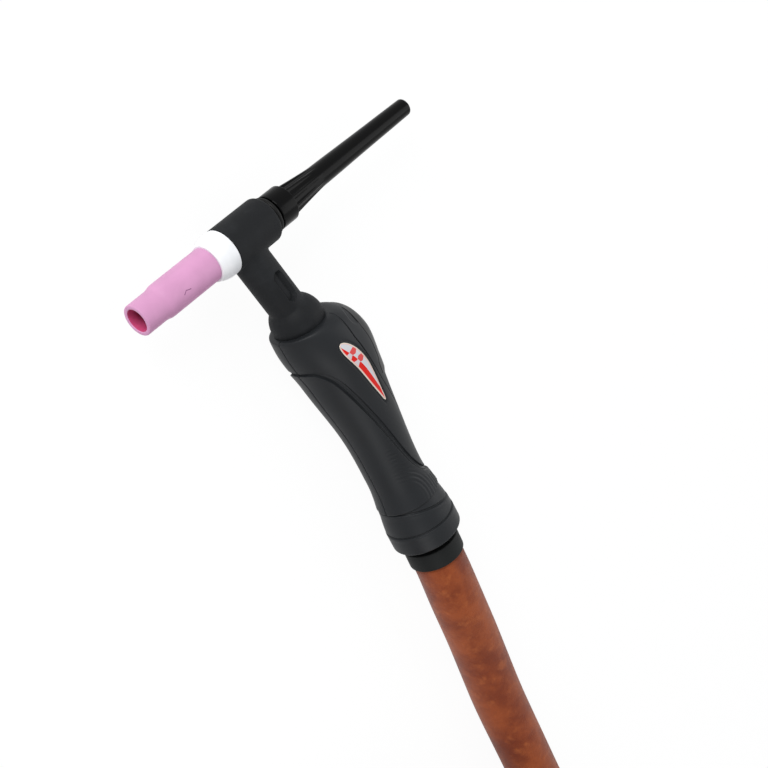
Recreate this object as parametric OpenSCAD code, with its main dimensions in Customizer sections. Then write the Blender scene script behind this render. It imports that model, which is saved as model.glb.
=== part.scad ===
// TIG welding torch, air cooled, lying on its side: head, long back cap, grip, ball joint, cable and plug.
// Frame: +X leaves the gas cup along the electrode, +Y runs towards the cable, +Z is up.
// The origin is where the axis of the head meets the axis of the neck.

/* [Gas cup] */
// Bore of the gas cup at its mouth
cup_bore = 11.1; // [8:0.1:12.7]
// Outer diameter of the narrow front of the cup
cup_tip_d = 15.1; // [14.8:0.1:16]
// Outer diameter of the wide rear of the cup
cup_wide_d = 16.6; // [16:0.1:19]
// Length of the cup
cup_len = 43; // [36:1:54]
// Length of the narrow front of the cup
cup_tip_len = 11.5; // [6:0.5:14]
// Length of the sloping step between the two diameters
cup_step_len = 2.6; // [1:0.1:4]

/* [Electrode holder] */
// Diameter of the electrode that the collet takes
electrode_d = 2.4; // [1.6:0.1:3.2]
// Outer diameter of the collet
collet_d = 4.4; // [4.2:0.1:5]
// Length of the collet
collet_len = 32; // [28:1:34]
// Outer diameter of the thread that joins lens body, head and cap
thread_d = 10.2; // [9.6:0.1:11]

/* [Head] */
// Diameter of the rubber head
head_d = 22; // [20:0.5:26]
// From the neck's axis to the front face of the head
head_front = 8.6; // [8:0.1:11]
// From the neck's axis to the rear face of the head
head_rear = 18.5; // [15:0.5:22]
// Rounding of the head's rear edge
head_round = 3.2; // [1:0.1:4]
// Length of the white insulator ring
ring_len = 10.2; // [7:0.1:13]
// Diameter of the insulator where it meets the head
ring_rear_d = 21.6; // [20:0.1:23]
// Diameter of the insulator where it meets the cup
ring_front_d = 18.4; // [17:0.1:20]
// Diameter of the brass core inside the head
core_d = 15; // [14:0.5:17]

/* [Back cap] */
// Outer diameter of the cap's grip ring
cap_ring_d = 17.6; // [15:0.1:20]
// Length of the cap's grip ring
cap_ring_len = 9.5; // [6:0.5:13]
// Gap between the head and the grip ring, filled by the seal
cap_gap = 3.7; // [3.2:0.1:5]
// Length of the cap behind the grip ring
cap_tail_len = 87; // [40:1:120]
// Diameter over the fins just behind the grip ring
cap_flare_d = 15.4; // [13:0.1:17]
// Diameter of the tube where the fins end
cap_tube_d = 11; // [10:0.1:12]
// Diameter of the tube at its tip
cap_tip_d = 8.1; // [7.2:0.1:9]
// Length of the fins
fin_len = 23; // [12:1:30]
// Number of fins
fin_count = 10; // [6:1:16]
// Thickness of a fin
fin_t = 1.5; // [0.8:0.1:2.2]
// Thickness of the rubber seal's cord
seal_t = 2.6; // [2:0.1:3]

/* [Neck] */
// Diameter of the rubber neck
neck_d = 17.3; // [15:0.1:19]
// Angle between the cup's axis and the neck
neck_angle = 102.3; // [95:0.1:115]
// Length of the neck from the head's axis to the middle of its ball shaped collar
neck_len = 49.5; // [44:0.5:54]
// Diameter of the ball shaped collar on the neck
neck_bulb_d = 26.4; // [24:0.1:26.6]
// Diameter of the metal tube inside the neck
neck_tube_d = 7.6; // [6:0.1:9]
// Length of the moulded slot on the neck
slot_len = 15; // [8:0.5:18]
// Width of the moulded slot on the neck
slot_w = 6.4; // [4:0.1:8]
// Depth of the moulded slot on the neck
slot_deep = 1.8; // [0.8:0.1:2.5]

/* [Handle] */
// Angle between the cup's axis and the handle
handle_angle = 92.5; // [90:0.1:96]
// Length of the moulded shells
shell_len = 107.5; // [100:0.5:120]
// Radius of the handle at its mouth
mouth_r = 14.8; // [14.6:0.1:15.6]
// Radius of the handle at its widest
shoulder_r = 20.6; // [19.6:0.1:21.6]
// Distance of the widest place from the mouth
shoulder_at = 18; // [14:0.5:20]
// Radius of the handle's waist
waist_r = 13.8; // [13.2:0.1:15]
// Distance of the waist from the mouth
waist_at = 92; // [84:1:96]
// Radius of the handle's rear end
tail_r = 17.8; // [17:0.1:19]
// How far the front of the handle lies off its axis
front_shift = 3.9; // [3:0.1:4.5]
// How far the mouth's rim leans out beyond that
rim_shift = 3.9; // [3:0.1:4.2]
// How far the middle of the handle bows away from the cup side
bow = 0.8; // [0:0.1:1.2]
// Step up to the grip behind the swept line
grip_step = 0.7; // [0:0.1:1.2]
// Depth of the channel along the swept line
channel_deep = 0.7; // [0:0.1:1.2]
// Gap in the seams between the mouldings
seam = 0.16; // [0.1:0.02:0.3]
// Radius of the hollow for the lead
hollow_r = 6.2; // [6:0.1:6.4]

/* [Rear collar and ball joint] */
// Length of the rear collar
collar_len = 24; // [22:0.5:27]
// Radius of the joint's ball
ball_r = 13.3; // [12.8:0.1:13.6]
// From the rear face of the collar to the ball's centre
ball_in = 7.5; // [6.5:0.1:8.5]
// Depth of the two grooves around the collar
groove_deep = 0.8; // [0.4:0.1:1.2]
// Width of the two grooves around the collar
groove_w = 1.1; // [0.6:0.1:1.6]
// Diameter of the cable sleeve behind the ball
sleeve_d = 28.4; // [27.4:0.1:30]
// From the ball's centre to the front of the sleeve
sleeve_at = 11.5; // [11.5:0.1:13]
// Length of the sleeve
sleeve_len = 9.5; // [8:0.5:14]

/* [Switch] */
// Radius of the trigger's pin
pin_r = 1.25; // [1:0.05:1.5]
// Distance of the trigger's pin from the mouth
pin_at = 37; // [36:0.5:39]
// Distance of the trigger's pin from the handle's axis
pin_off = 12.2; // [11.8:0.1:12.6]
// Free room below the trigger's front
trigger_room = 2.4; // [2:0.1:3]
// Length of the microswitch
micro_len = 13; // [12:0.5:14]
// Width of the microswitch
micro_t = 5.8; // [5:0.1:6.4]

/* [Screws] */
// Radius of a shell screw's shank
screw_r = 1.4; // [1.2:0.1:1.6]
// Radius of a shell screw's head
screw_head_r = 2.6; // [2.2:0.1:2.8]

/* [Cable and plug] */
// Diameter of the cable in its leather cover
cable_d = 26; // [25:0.5:26]
// Radius of the plug's contact pin
plug_pin_r = 6.5; // [4.5:0.5:6.5]
// Length of the plug's contact pin
plug_pin_len = 27; // [20:1:30]
// Radius of the plug's rubber boot
boot_r = 15; // [14:0.5:16]
// Length of the plug's rubber boot
boot_len = 52; // [40:1:60]
// Outer radius of the gas spigot
spigot_r = 3.5; // [2.5:0.1:4.5]
// Length of the gas spigot
spigot_len = 16; // [12:1:20]

/* [Hidden] */
$fn = 64;

fit = 0.08;          // radial clearance of running and sliding fits
room = 0.3;          // clearance between pieces that move past each other

// Places along the head's axis
cup_rear = head_front + ring_len;
cup_tip = cup_rear + cup_len;
lens_front = cup_rear + 12.5;
lens_wall = 0.7;
lens_r = cup_tip_d / 2 - 1.15;
seat_r = lens_r + fit;
collet_r = collet_d / 2;
collet_front = lens_front - 3;
collet_rear = collet_front - collet_len;
thread_r = thread_d / 2;
lens_rear = -1;
insert_front = lens_rear - 1;
cap_front = -head_rear - 0.3;
ring_start = -head_rear - cap_gap;
ring_end = ring_start - cap_ring_len;
cap_end = ring_end - cap_tail_len;
cap_neck_r = cap_ring_d / 2 - 2.1;
seal_x = -head_rear - 0.3 - seal_t / 2;

// Places along the neck and the handle
bulb_end = neck_len + sqrt(pow(neck_bulb_d / 2, 2) - pow(neck_d / 2, 2));
plug_in_handle = bulb_end + 1;
handle_len = shell_len + collar_len;
ball_at = handle_len - ball_in;
floor_z = -shoulder_r;
axis_dir = [cos(handle_angle), sin(handle_angle)];
neck_dir = [cos(neck_angle), sin(neck_angle)];
mouth_xy = (neck_len + 3.510) * neck_dir - 7.806 * [neck_dir[1], -neck_dir[0]];
ball_xy = mouth_xy + ball_at * axis_dir;
spigot_on_collar = 2.9;
sleeve_wall = 2.5;
neck_r = 8.4;
core_r = 6;
lead_r = 5.2;
lead_start = 20.5;

// The swept line runs round the handle from near the shoulder to near the waist
sweep_start = 18;
sweep_end = 101.5;
sweep_upper = [76, 4.6];
sweep_lower = [65, 4.2];

// Seam of the back spine, as [distance from the mouth, offset from the axis]
// Inner edge of the trigger, as [offset from the axis, distance from the mouth]
spine_edge = [[-6, -1.2], [13, -1.3], [42, -6.9], [65, -12.5], [76, -15]];
trigger_edge = [[-9.6, 3], [-9.4, 13], [-10.4, 22], [-10.4, 32], [-9, 34], [-9, 40], [-14, 43]];
micro_at = 10.5;
micro_floor = 6.6;
plunger_at = 17;
screw_spots = [[12, 34], [10.4, 62], [10.2, 98]];

cable_r = cable_d / 2;
cable_z = floor_z + 13;
coil_rise = 26.4;
plug_y = 222;
plug_z = floor_z + boot_r;
// Route of the cable from the sleeve to the coil
free_route = [[ball_xy[0], ball_xy[1] + sleeve_at + sleeve_wall + 0.05, 0], [-24.3, 206, 0], [-24.4, 224, -1],
              [-25.4, 246, -3.6], [-26, 270, -6.2], [-25.6, 300, cable_z], [-25.2, 344, cable_z],
              [-26, 384, cable_z], [-26, 424, cable_z]];
// Route of the cable from the coil down to the plug
tail_route = [[288, 423.9, cable_z + coil_rise], [288, 390, cable_z + coil_rise], [288, 356, 16], [288,
    322, 8],
              [288, 290, -1], [288, 256, plug_z], [288, plug_y + 0.1, plug_z]];
coil_start = [-26, 450];
coil_r = 157;
coil_pitch = 26.9;
coil_turns = 4.5;
coil_steps = 24;
tube_sides = 10;
tie_t = 1.2;
tie_w = 20;

function clamp(t) = min(1, max(0, t));
function unit(v) = v / norm(v);
function blend(a, b, t) = a + (b - a) * (1 - cos(180 * clamp(t))) / 2;

// Radius of the handle at a distance from its mouth
function handle_r(y) =
    y < shoulder_at ? mouth_r + (shoulder_r - mouth_r) * sqrt(1 - pow(1 - clamp(y / shoulder_at), 2))
    : y < waist_at ? blend(shoulder_r, waist_r, pow((y - shoulder_at) / (waist_at - shoulder_at), 0.7))
    : blend(waist_r, tail_r, (y - waist_at) / (handle_len - 5 - waist_at));
// Offset of the section's centre from the handle's axis
function handle_shift(y) = front_shift * (1 - blend(0, 1, y / 30)) + rim_shift * exp(-y / 3.5)
    - bow * (1 - cos(360 * clamp((y - 35) / 60))) / 2;
// Place of the swept line at an angle from the cup side, 0 to 180 on both sides
function sweep_y(a, line) = sweep_start + (sweep_end - sweep_start) / (1 + pow(line[0] / max(a, 4), line[1]));

// Rings of the handle's skin: stretches in front of the swept line, the channel, the grip and the spigot
front_rings = 12;
grip_rings = 7;
last_ring = front_rings + 3 + grip_rings + 2;
half_sides = 20;
function skin_y(k, a) =
    k <= front_rings ? sweep_y(a, sweep_upper) * pow(k / front_rings, 1.5)
    : k == front_rings + 1 ? 0.85 * sweep_y(a, sweep_upper) + 0.15 * sweep_y(a, sweep_lower) + 0.5
    : k == front_rings + 2 ? 0.15 * sweep_y(a, sweep_upper) + 0.85 * sweep_y(a, sweep_lower) + 0.6
    : k == last_ring ? shell_len + spigot_on_collar
    : k == last_ring - 1 ? shell_len
    : sweep_y(a, sweep_lower) + 1.2
      + (shell_len - 1.2 - sweep_y(a, sweep_lower)) * (k - front_rings - 3) / grip_rings;
function skin_r(k, y) =
    k >= last_ring - 1 ? collar_bore_r - fit
    : handle_r(y) + (k <= front_rings ? 0 : k <= front_rings + 2 ? -channel_deep
                     : k == last_ring - 2 ? 0 : grip_step);
// A point of the outer skin and of the hollow at ring k and angle a, 0 on the cup side and 90 upwards
function fold(a) = a > 180 ? 360 - a : a;
function outer_point(k, a) =
    let (y = skin_y(k, fold(a)), r = skin_r(k, y))
    [handle_shift(y) + r * cos(a), y, r * sin(a)];
function inner_point(k, a) =
    let (back = k == last_ring - 2 ? 1 : 0,
         y = k == last_ring - 1 ? 0.75 * shell_len + 0.25 * skin_y(k - 2, fold(a))
           : (skin_y(k, fold(a)) + skin_y(k - back, fold(a))) / 2,
         r = hollow_at(y, a))
    [blend(neck_off(y), 0, (y - 10) / 14) + r * cos(a), y, r * sin(a)];
// Angle of the spine's seam on ring k, found by halving the step towards it
function seam_angle(k, y) =
    y > spine_edge[4][0] ? 180
    : acos(max(-1, min(1, (lookup(y, spine_edge) - handle_shift(y)) / skin_r(k, y))));
function seam_on(k, a = 100, n = 24) = n == 0 ? a : seam_on(k, (a + seam_angle(k, skin_y(k, a))) / 2, n - 1);
seam_angles = [for (k = [0 : last_ring]) k > front_rings + 3 ? 180 : seam_on(k)];
spine_rings = len([for (a = seam_angles) if (a < 176) a]);
function half_seam(k) = 57.3 * seam / 2 / handle_r(waist_at);
function shell_end(k) = k == spine_rings ? 179 - 2 * half_seam(k) : min(180, seam_angles[k]) - half_seam(k);

// Radius of the neck's collar at a distance from the head's axis
function bulb_at(s) = sqrt(max(pow(neck_d / 2, 2), pow(neck_bulb_d / 2, 2) - pow(s - neck_len, 2)));
// Distance along the neck, and offset from the handle's axis, of the neck at a distance from the mouth
side_dir = [axis_dir[1], -axis_dir[0]];
function neck_at(y) = (y + mouth_xy * axis_dir) / (neck_dir * axis_dir);
function neck_off(y) = neck_at(y) * (neck_dir * side_dir) - mouth_xy * side_dir;
chamber_r = 10.5;
// The neck leans in the handle, so its collar lies deeper on the cup side
function lean_at(y, a) = max([for (q = [8 : 14]) bulb_at(neck_at(y) + q * (side_dir * neck_dir) * cos(a))]);
function hollow_at(y, a) =
    y < 10 ? max(lean_at(y, a) + room, chamber_r) : blend(chamber_r, hollow_r, (y - 10) / 14);

module on_head() {
    rotate([0, 90, 0]) children();
}
module on_neck() {
    rotate([0, 0, neck_angle]) rotate([0, 90, 0]) children();
}
module on_handle() {
    translate([mouth_xy[0], mouth_xy[1], 0]) rotate([0, 0, handle_angle - 90]) children();
}
// Turns a revolved shape so that it runs along the handle
module along_handle(y = 0) {
    on_handle() translate([0, y, 0]) rotate([-90, 0, 0]) children();
}
// The ball, the sleeve and the cable lie along +Y behind the ball's centre
module along_cable(y = 0) {
    translate([ball_xy[0], ball_xy[1] + y, 0]) rotate([-90, 0, 0]) children();
}
module ring(r1, r2, h) {
    rotate_extrude() translate([r1, 0]) square([r2 - r1, h]);
}

// A closed skin through rings of points, with a fan at each end
module skin(rings) {
    n = len(rings);
    m = len(rings[0]);
    points = [for (r = rings) for (p = r) p];
    sides = [for (k = [0 : n - 2]) for (i = [0 : m - 1]) for (t = [0, 1])
        let (a = k * m + i, b = k * m + (i + 1) % m)
        t == 0 ? [a, b, b + m] : [a, b + m, a + m]];
    caps = [for (i = [1 : m - 2]) for (t = [0, 1])
        t == 0 ? [0, i + 1, i] : [(n - 1) * m, (n - 1) * m + i, (n - 1) * m + i + 1]];
    polyhedron(points, concat(sides, caps), convexity = 6);
}
// A closed wall through C shaped rings, whose ends are closed by strips from the outer to the inner side.
// Both long edges are split from the outer to the inner side, so that neighbouring walls match.
module wall(rings) {
    n = len(rings);
    m = len(rings[0]);
    points = [for (r = rings) for (p = r) p];
    sides = [for (k = [0 : n - 2]) for (i = [0 : m - 1]) for (t = [0, 1])
        let (a = k * m + i, b = k * m + (i + 1) % m, c = i == m - 1 ? a + m : b + m)
        t == 0 ? [a, b, c] : i == m - 1 ? [b, b + m, c] : [a, c, a + m]];
    z = (n - 1) * m;
    caps = [for (j = [0 : m / 2 - 2]) for (t = [0 : 3])
        t == 0 ? [m - 1 - j, m - 2 - j, j + 1]
        : t == 1 ? [m - 1 - j, j + 1, j]
        : t == 2 ? [z + j, z + j + 1, z + m - 2 - j]
        : [z + j, z + m - 2 - j, z + m - 1 - j]];
    polyhedron(points, concat(sides, caps), convexity = 6);
}
function wall_ring(k, a0, a1) = concat(
    [for (i = [0 : half_sides]) outer_point(k, a0 + (a1 - a0) * i / half_sides)],
    [for (i = [half_sides : -1 : 0]) inner_point(k, a0 + (a1 - a0) * i / half_sides)]);
// A round tube along a path, with a corner of each ring pointing down
function tube_rings(path, r, sides) = [for (k = [0 : len(path) - 1])
    let (t = unit(path[min(k + 1, len(path) - 1)] - path[max(k - 1, 0)]),
         s = unit(cross([0, 0, 1], t)), u = cross(t, s))
    [for (i = [0 : sides - 1]) path[k] - r * (sin(360 * i / sides) * s + cos(360 * i / sides) * u)]];
module tube(path, r, sides) {
    skin(tube_rings(path, r, sides));
}

// ---------------------------------------------------------------- head

module gas_cup() {
    lip = 0.5;
    wide_end = cup_tip - cup_tip_len - cup_step_len;
    color("pink") on_head() rotate_extrude() polygon([
        [seat_r, cup_rear], [cup_wide_d / 2 - lip, cup_rear], [cup_wide_d / 2, cup_rear + lip],
        [cup_wide_d / 2, wide_end], [cup_tip_d / 2, cup_tip - cup_tip_len],
        [cup_tip_d / 2, cup_tip - lip], [cup_tip_d / 2 - lip, cup_tip],
        [cup_bore / 2 + lip, cup_tip], [cup_bore / 2, cup_tip - lip],
        [cup_bore / 2, lens_front + 3.5], [seat_r, lens_front + 2]]);
}

module lens_screens() {
    color("lightsteelblue") on_head() translate([0, 0, lens_front - 2.6]) difference() {
        ring(collet_r + 0.9 + fit, lens_r - lens_wall - fit, 2.2);
        for (i = [0 : 11]) rotate([0, 0, 30 * i]) translate([4.45, 0, -1]) cylinder(r = 0.55, h = 5,
            $fn = 16);
    }
}

module gas_lens_body() {
    post_r = collet_r + 0.9;
    color("peru") on_head() difference() {
        rotate_extrude() polygon([
            [collet_r + fit, lens_rear], [thread_r - fit, lens_rear], [thread_r - fit, cup_rear + 0.4],
                [lens_r, cup_rear + 0.4],
            [lens_r, lens_front], [lens_r - lens_wall, lens_front], [lens_r - lens_wall, cup_rear + 3],
            [post_r, cup_rear + 3], [post_r, lens_front + 0.8], [electrode_d / 2 + 0.15, lens_front + 0.8],
            [electrode_d / 2 + 0.15, collet_front + 0.8], [collet_r + fit, collet_front + fit]]);
        for (i = [0 : 5]) rotate([0, 0, 60 * i]) translate([3.8, 0, 3]) cylinder(r = 0.6, h = cup_rear,
            $fn = 16);
    }
}

module collet() {
    slot = 0.4;
    color("sandybrown") on_head() difference() {
        rotate_extrude() polygon([
            [electrode_d / 2, collet_rear], [collet_r, collet_rear], [collet_r, collet_front - 1],
            [collet_r - 0.7, collet_front], [electrode_d / 2, collet_front]]);
        translate([-slot / 2, -5, collet_front - 12]) cube([slot, 10, 13]);
    }
}

module insulator_ring() {
    bow = 1.1;
    r1 = ring_rear_d / 2;
    r2 = ring_front_d / 2;
    color("white") on_head() rotate_extrude() polygon(concat(
        [[thread_r + fit, cup_rear - 0.05], [thread_r + fit, head_front + 0.05], [r1 - 0.3,
            head_front + 0.05]],
        [for (k = [0 : 10]) let (t = k / 10)
            [r1 + (r2 - r1) * t * t + bow * sin(180 * t) * 0.35, head_front + 0.35 + (ring_len - 0.8) * t]],
        [[r2 - 0.5, cup_rear - 0.05]]));
}

module head_core() {
    color("goldenrod") difference() {
        union() {
            on_head() translate([0, 0, -head_rear + 1]) cylinder(r = core_d / 2,
                h = head_rear + head_front - 1.5);
            on_neck() cylinder(r = neck_tube_d / 2 + 2, h = 13);
        }
        on_head() translate([0, 0, -head_rear]) cylinder(r = thread_r, h = head_rear + head_front + 1);
        on_neck() translate([0, 0, 5.5]) cylinder(r = neck_tube_d / 2 + fit, h = 9);
    }
}

// Rubber moulding that covers head and neck, with the collar that sits in the handle's mouth
module head_cover() {
    r = head_d / 2;
    n = neck_d / 2;
    b = neck_bulb_d / 2;
    color([0.16, 0.16, 0.17]) difference() {
        union() {
            on_head() rotate_extrude() polygon(concat(
                [[0, head_front], [r - 0.8, head_front], [r, head_front - 0.8]],
                [for (k = [0 : 6]) [r - head_round * (1 - cos(15 * k)),
                    -head_rear + head_round * (1 - sin(15 * k))]],
                [[0, -head_rear]]));
            on_neck() rotate_extrude() polygon(concat(
                [[0, 0]],
                [for (k = [0 : 8]) [n + 1.4 * pow(1 - k / 8, 2), 6 + 1.2 * k]],
                [for (k = [0 : 14]) let (t = 180 - asin(n / b) - (180 - 2 * asin(n / b)) * k / 14)
                    [b * sin(t), neck_len + b * cos(t)]],
                [[n, plug_in_handle], [0, plug_in_handle]]));
        }
        on_head() translate([0, 0, -head_rear - 1]) cylinder(r = core_d / 2 + fit,
            h = head_rear + head_front + 2);
        on_neck() cylinder(r = neck_tube_d / 2 + 2 + fit, h = 13.2);
        on_neck() cylinder(r = neck_tube_d / 2 + fit, h = plug_in_handle + 1);
        neck_slot();
    }
}

// Oval slot in the neck's rubber, turned towards the rear of the head
module neck_slot() {
    run = (slot_len - slot_w) / 2;
    on_neck() rotate([0, 0, slot_turn]) translate([neck_d / 2 - slot_deep, 0, slot_mid]) rotate([0, 90, 0])
        linear_extrude(6) union() {
            translate([-run, -slot_w / 2]) square([2 * run, slot_w]);
            for (s = [-1, 1]) translate([s * run, 0]) circle(r = slot_w / 2);
        }
}
tube_start = thread_r + 1.6;
slot_turn = 172;
slot_mid = 27.5;

module neck_tube() {
    color("darkgoldenrod") on_neck() translate([0, 0, tube_start]) ring(neck_tube_d / 2 - 1.2,
        neck_tube_d / 2, bulb_end + 10.7 - tube_start);
}

// ---------------------------------------------------------------- back cap

module back_cap() {
    rf = cap_flare_d / 2;
    rt = cap_tube_d / 2;
    tip = cap_tip_d / 2;
    root = rf - 1.5;
    fin_end = ring_end - fin_len;
    color([0.05, 0.05, 0.05]) on_head() difference() {
        union() {
            rotate_extrude() polygon(concat(
                [[0, cap_front], [cap_neck_r, cap_front], [cap_neck_r, ring_start],
                 [cap_ring_d / 2 - 0.5, ring_start], [cap_ring_d / 2, ring_start - 0.5],
                 [cap_ring_d / 2, ring_end + 0.5], [cap_ring_d / 2 - 0.5, ring_end], [root, ring_end - 0.2]],
                [for (k = [1 : 6]) let (t = k / 6) [rt + (root - rt) * pow(1 - t, 1.6),
                    ring_end - fin_len * t]],
                [for (k = [1 : 4]) [rt + (tip - rt) * (1 - pow(1 - k / 4, 1.15)),
                    fin_end + (cap_end + 2 - fin_end) * k / 4]],
                [for (k = [1 : 4]) [tip * cos(20 * k) , cap_end + 2 - 2 * sin(20 * k)]],
                [[0, cap_end]]));
            for (i = [0 : fin_count - 1]) rotate([0, 0, 360 * i / fin_count]) rotate([90, 0, 0])
                translate([0, 0, -fin_t / 2]) linear_extrude(fin_t) polygon([
                    [1, ring_end + 0.5], [rf, ring_end + 0.5], [rf, ring_end - 0.8],
                    [(rf + rt) / 2 + 0.25, ring_end - fin_len * 0.52], [rt - 0.1, fin_end], [1, fin_end]]);
        }
        translate([0, 0, cap_end + 6]) cylinder(r = electrode_d / 2 + 0.4, h = 200);
        translate([0, 0, ring_start - 5]) cylinder(r = thread_r - 0.6 + 0.02, h = 40);
    }
}

module cap_insert() {
    color("gold") on_head() difference() {
        union() {
            translate([0, 0, ring_start - 5]) cylinder(r = thread_r - 0.6, h = insert_front - ring_start + 5);
            translate([0, 0, cap_front + 0.1]) cylinder(r = thread_r - fit,
                h = insert_front - cap_front - 0.1);
        }
        translate([0, 0, ring_start - 6]) cylinder(r = electrode_d / 2 + 0.4, h = 60);
        translate([0, 0, collet_rear - room]) cylinder(r = collet_r + room, h = 30);
    }
}

module cap_seal() {
    color([0.1, 0.1, 0.1]) on_head() rotate_extrude() translate([cap_neck_r + 0.1 + seal_t / 2,
        seal_x]) circle(r = seal_t / 2, $fn = 32);
}

// ---------------------------------------------------------------- handle

// One shell, from the seam on the cup side to the back, on the upper side (1) or the lower side (-1)
module shell(side) {
    on_handle() wall([for (k = [0 : last_ring])
        let (g = half_seam(k), a1 = shell_end(k))
        side > 0 ? wall_ring(k, g, a1) : wall_ring(k, 360 - a1, 360 - g)]);
}

module shell_upper() {
    color([0.2, 0.2, 0.21]) difference() {
        shell(1);
        for (p = screw_spots) on_handle() translate([p[0], p[1], -1]) cylinder(r = screw_r + 0.02, h = 9);
    }
}

module shell_lower() {
    color([0.19, 0.19, 0.2]) difference() {
        shell(-1);
        for (p = screw_spots) on_handle() translate([p[0], p[1], 0]) {
            translate([0, 0, -20]) cylinder(r = screw_r + fit, h = 30);
            translate([0, 0, -40]) cylinder(r = screw_head_r + fit, h = 40 - 4.4);
        }
    }
}

module shell_screws() {
    color("silver") for (p = screw_spots) on_handle() translate([p[0], p[1], 0]) {
        translate([0, 0, -4.5]) cylinder(r = screw_r, h = 12);
        difference() {
            translate([0, 0, -6.7]) cylinder(r = screw_head_r, h = 2.25);
            translate([0, 0, -6.8]) cylinder(r = 1.1, h = 1.2, $fn = 6);
        }
    }
}

// Back of the handle between the two seams
module spine_wall() {
    on_handle() wall([for (k = [0 : spine_rings])
        let (g = half_seam(k), a0 = k == spine_rings ? 179 : seam_angles[k] + g)
        wall_ring(k, a0, 360 - a0)]);
}

// Prism over the trigger; g grows it and drop lowers its inner edge towards the front
module trigger_prism(g, drop) {
    on_handle() translate([0, 0, -30]) linear_extrude(60) polygon(concat(
        [for (p = trigger_edge) [p[0] + g + drop * clamp((34 - p[1]) / 24), p[1] + (p[1]
            < 4 ? -g : p[1] > 42 ? g : 0)]],
        [[-40, trigger_edge[6][1] + g], [-40, trigger_edge[0][1] - g]]));
}

// Lug of the spine that carries the trigger's pin
module pin_lug() {
    lug_r = 3;
    on_handle() translate([-pin_off, pin_at, -4]) {
        cylinder(r = lug_r, h = 8);
        translate([0, -lug_r, 0]) cube([pin_off - 7.4, 2 * lug_r, 8]);
    }
}

module back_spine() {
    color([0.17, 0.17, 0.18]) difference() {
        spine_wall();
        difference() {
            trigger_prism(room, trigger_room);
            pin_lug();
        }
        on_handle() translate([-pin_off, pin_at, -10]) cylinder(r = pin_r + fit, h = 20);
        micro_box(fit);
    }
}

module micro_box(g) {
    on_handle() translate([-micro_floor - 6.2 - g, micro_at - g, -micro_t / 2 - g])
        cube([6.2 + 2 * g, micro_len + 2 * g, micro_t + 2 * g]);
}

// Rocker that fills the back of the handle near the mouth
module trigger() {
    color([0.1, 0.1, 0.1]) difference() {
        on_handle() skin(trigger_rings);
        on_handle() translate([-pin_off - 3.4, pin_at - 3.4, -4.3]) cube([12, 12, 12.5]);
        on_handle() translate([-pin_off, pin_at, -30]) cylinder(r = pin_r + 0.02, h = 60);
        on_handle() translate([-micro_floor - 6.2 - 1.6, micro_at - 1, -micro_t / 2 - 1.5])
            cube([12, micro_len + 2, micro_t + 3]);
    }
}
// Rings of the trigger: the outer skin behind its inner edge, closed by a straight line across
// How far the trigger's front stands out from the handle's skin
function trigger_rise(y) = 1.3 * sin(180 * pow(clamp((y - trigger_edge[0][1]) / 24), 0.7));
trigger_stations = [3, 5, 7, 9, 11, 13, 16, 19, 22, 25, 28, 32, 34, 37, 40, 43];
trigger_sides = 20;
trigger_line = [for (p = trigger_edge) [p[1], p[0]]];
trigger_rings = [for (y = trigger_stations)
    let (r = handle_r(y), c = handle_shift(y), w = lookup(y, trigger_line), a0 = acos((w - c) / r))
    [for (i = [0 : trigger_sides]) let (a = a0 + (360 - 2 * a0) * i / trigger_sides)
        let (e = min(a - a0, 360 - a0 - a), q = r + trigger_rise(y) * blend(0, 1, e / 25))
        [c + q * cos(a), y, q * sin(a)]]];

module trigger_pin() {
    color("lightgrey") on_handle() translate([-pin_off, pin_at, -10.5]) cylinder(r = pin_r, h = 21);
}

module trigger_spring() {
    wire = 0.35;
    color("grey") on_handle() translate([0, 0, 4.6]) spring(wire);
}

// Three turns of wire around the pin
module spring(wire) {
    turns = 3;
    steps = 12;
    sides = 6;
    r = pin_r + 0.3 + wire;
    rings = [for (k = [0 : turns * steps])
        let (a = 360 * k / steps, z = (2 * wire + 0.15) * k / steps + wire)
        [for (i = [0 : sides - 1]) let (q = r + wire * cos(60 * i))
            [-pin_off + q * cos(a), pin_at + q * sin(a), z + wire * sin(60 * i)]]];
    skin(rings);
}

module microswitch() {
    color("maroon") difference() {
        micro_box(0);
        on_handle() translate([-micro_floor - 7, plunger_at, 0]) rotate([0, 90, 0]) cylinder(r = 1.3, h = 4);
    }
}

module switch_plunger() {
    color("tomato") on_handle() translate([-micro_floor - 7.5, plunger_at, 0]) rotate([0, 90, 0])
        cylinder(r = 1.2, h = 2.6);
}

module lead_coupling() {
    color("gold") on_neck() translate([0, 0, plug_in_handle + 0.1]) difference() {
        cylinder(r = 6.6, h = 6, $fn = 6);
        translate([0, 0, -1]) cylinder(r = neck_tube_d / 2 + fit, h = 8);
    }
}

module inner_lead() {
    color("dimgray") along_handle(lead_start) cylinder(r = lead_r, h = shell_len + 0.5 - lead_start);
}

// ---------------------------------------------------------------- collar, ball and sleeve

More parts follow.
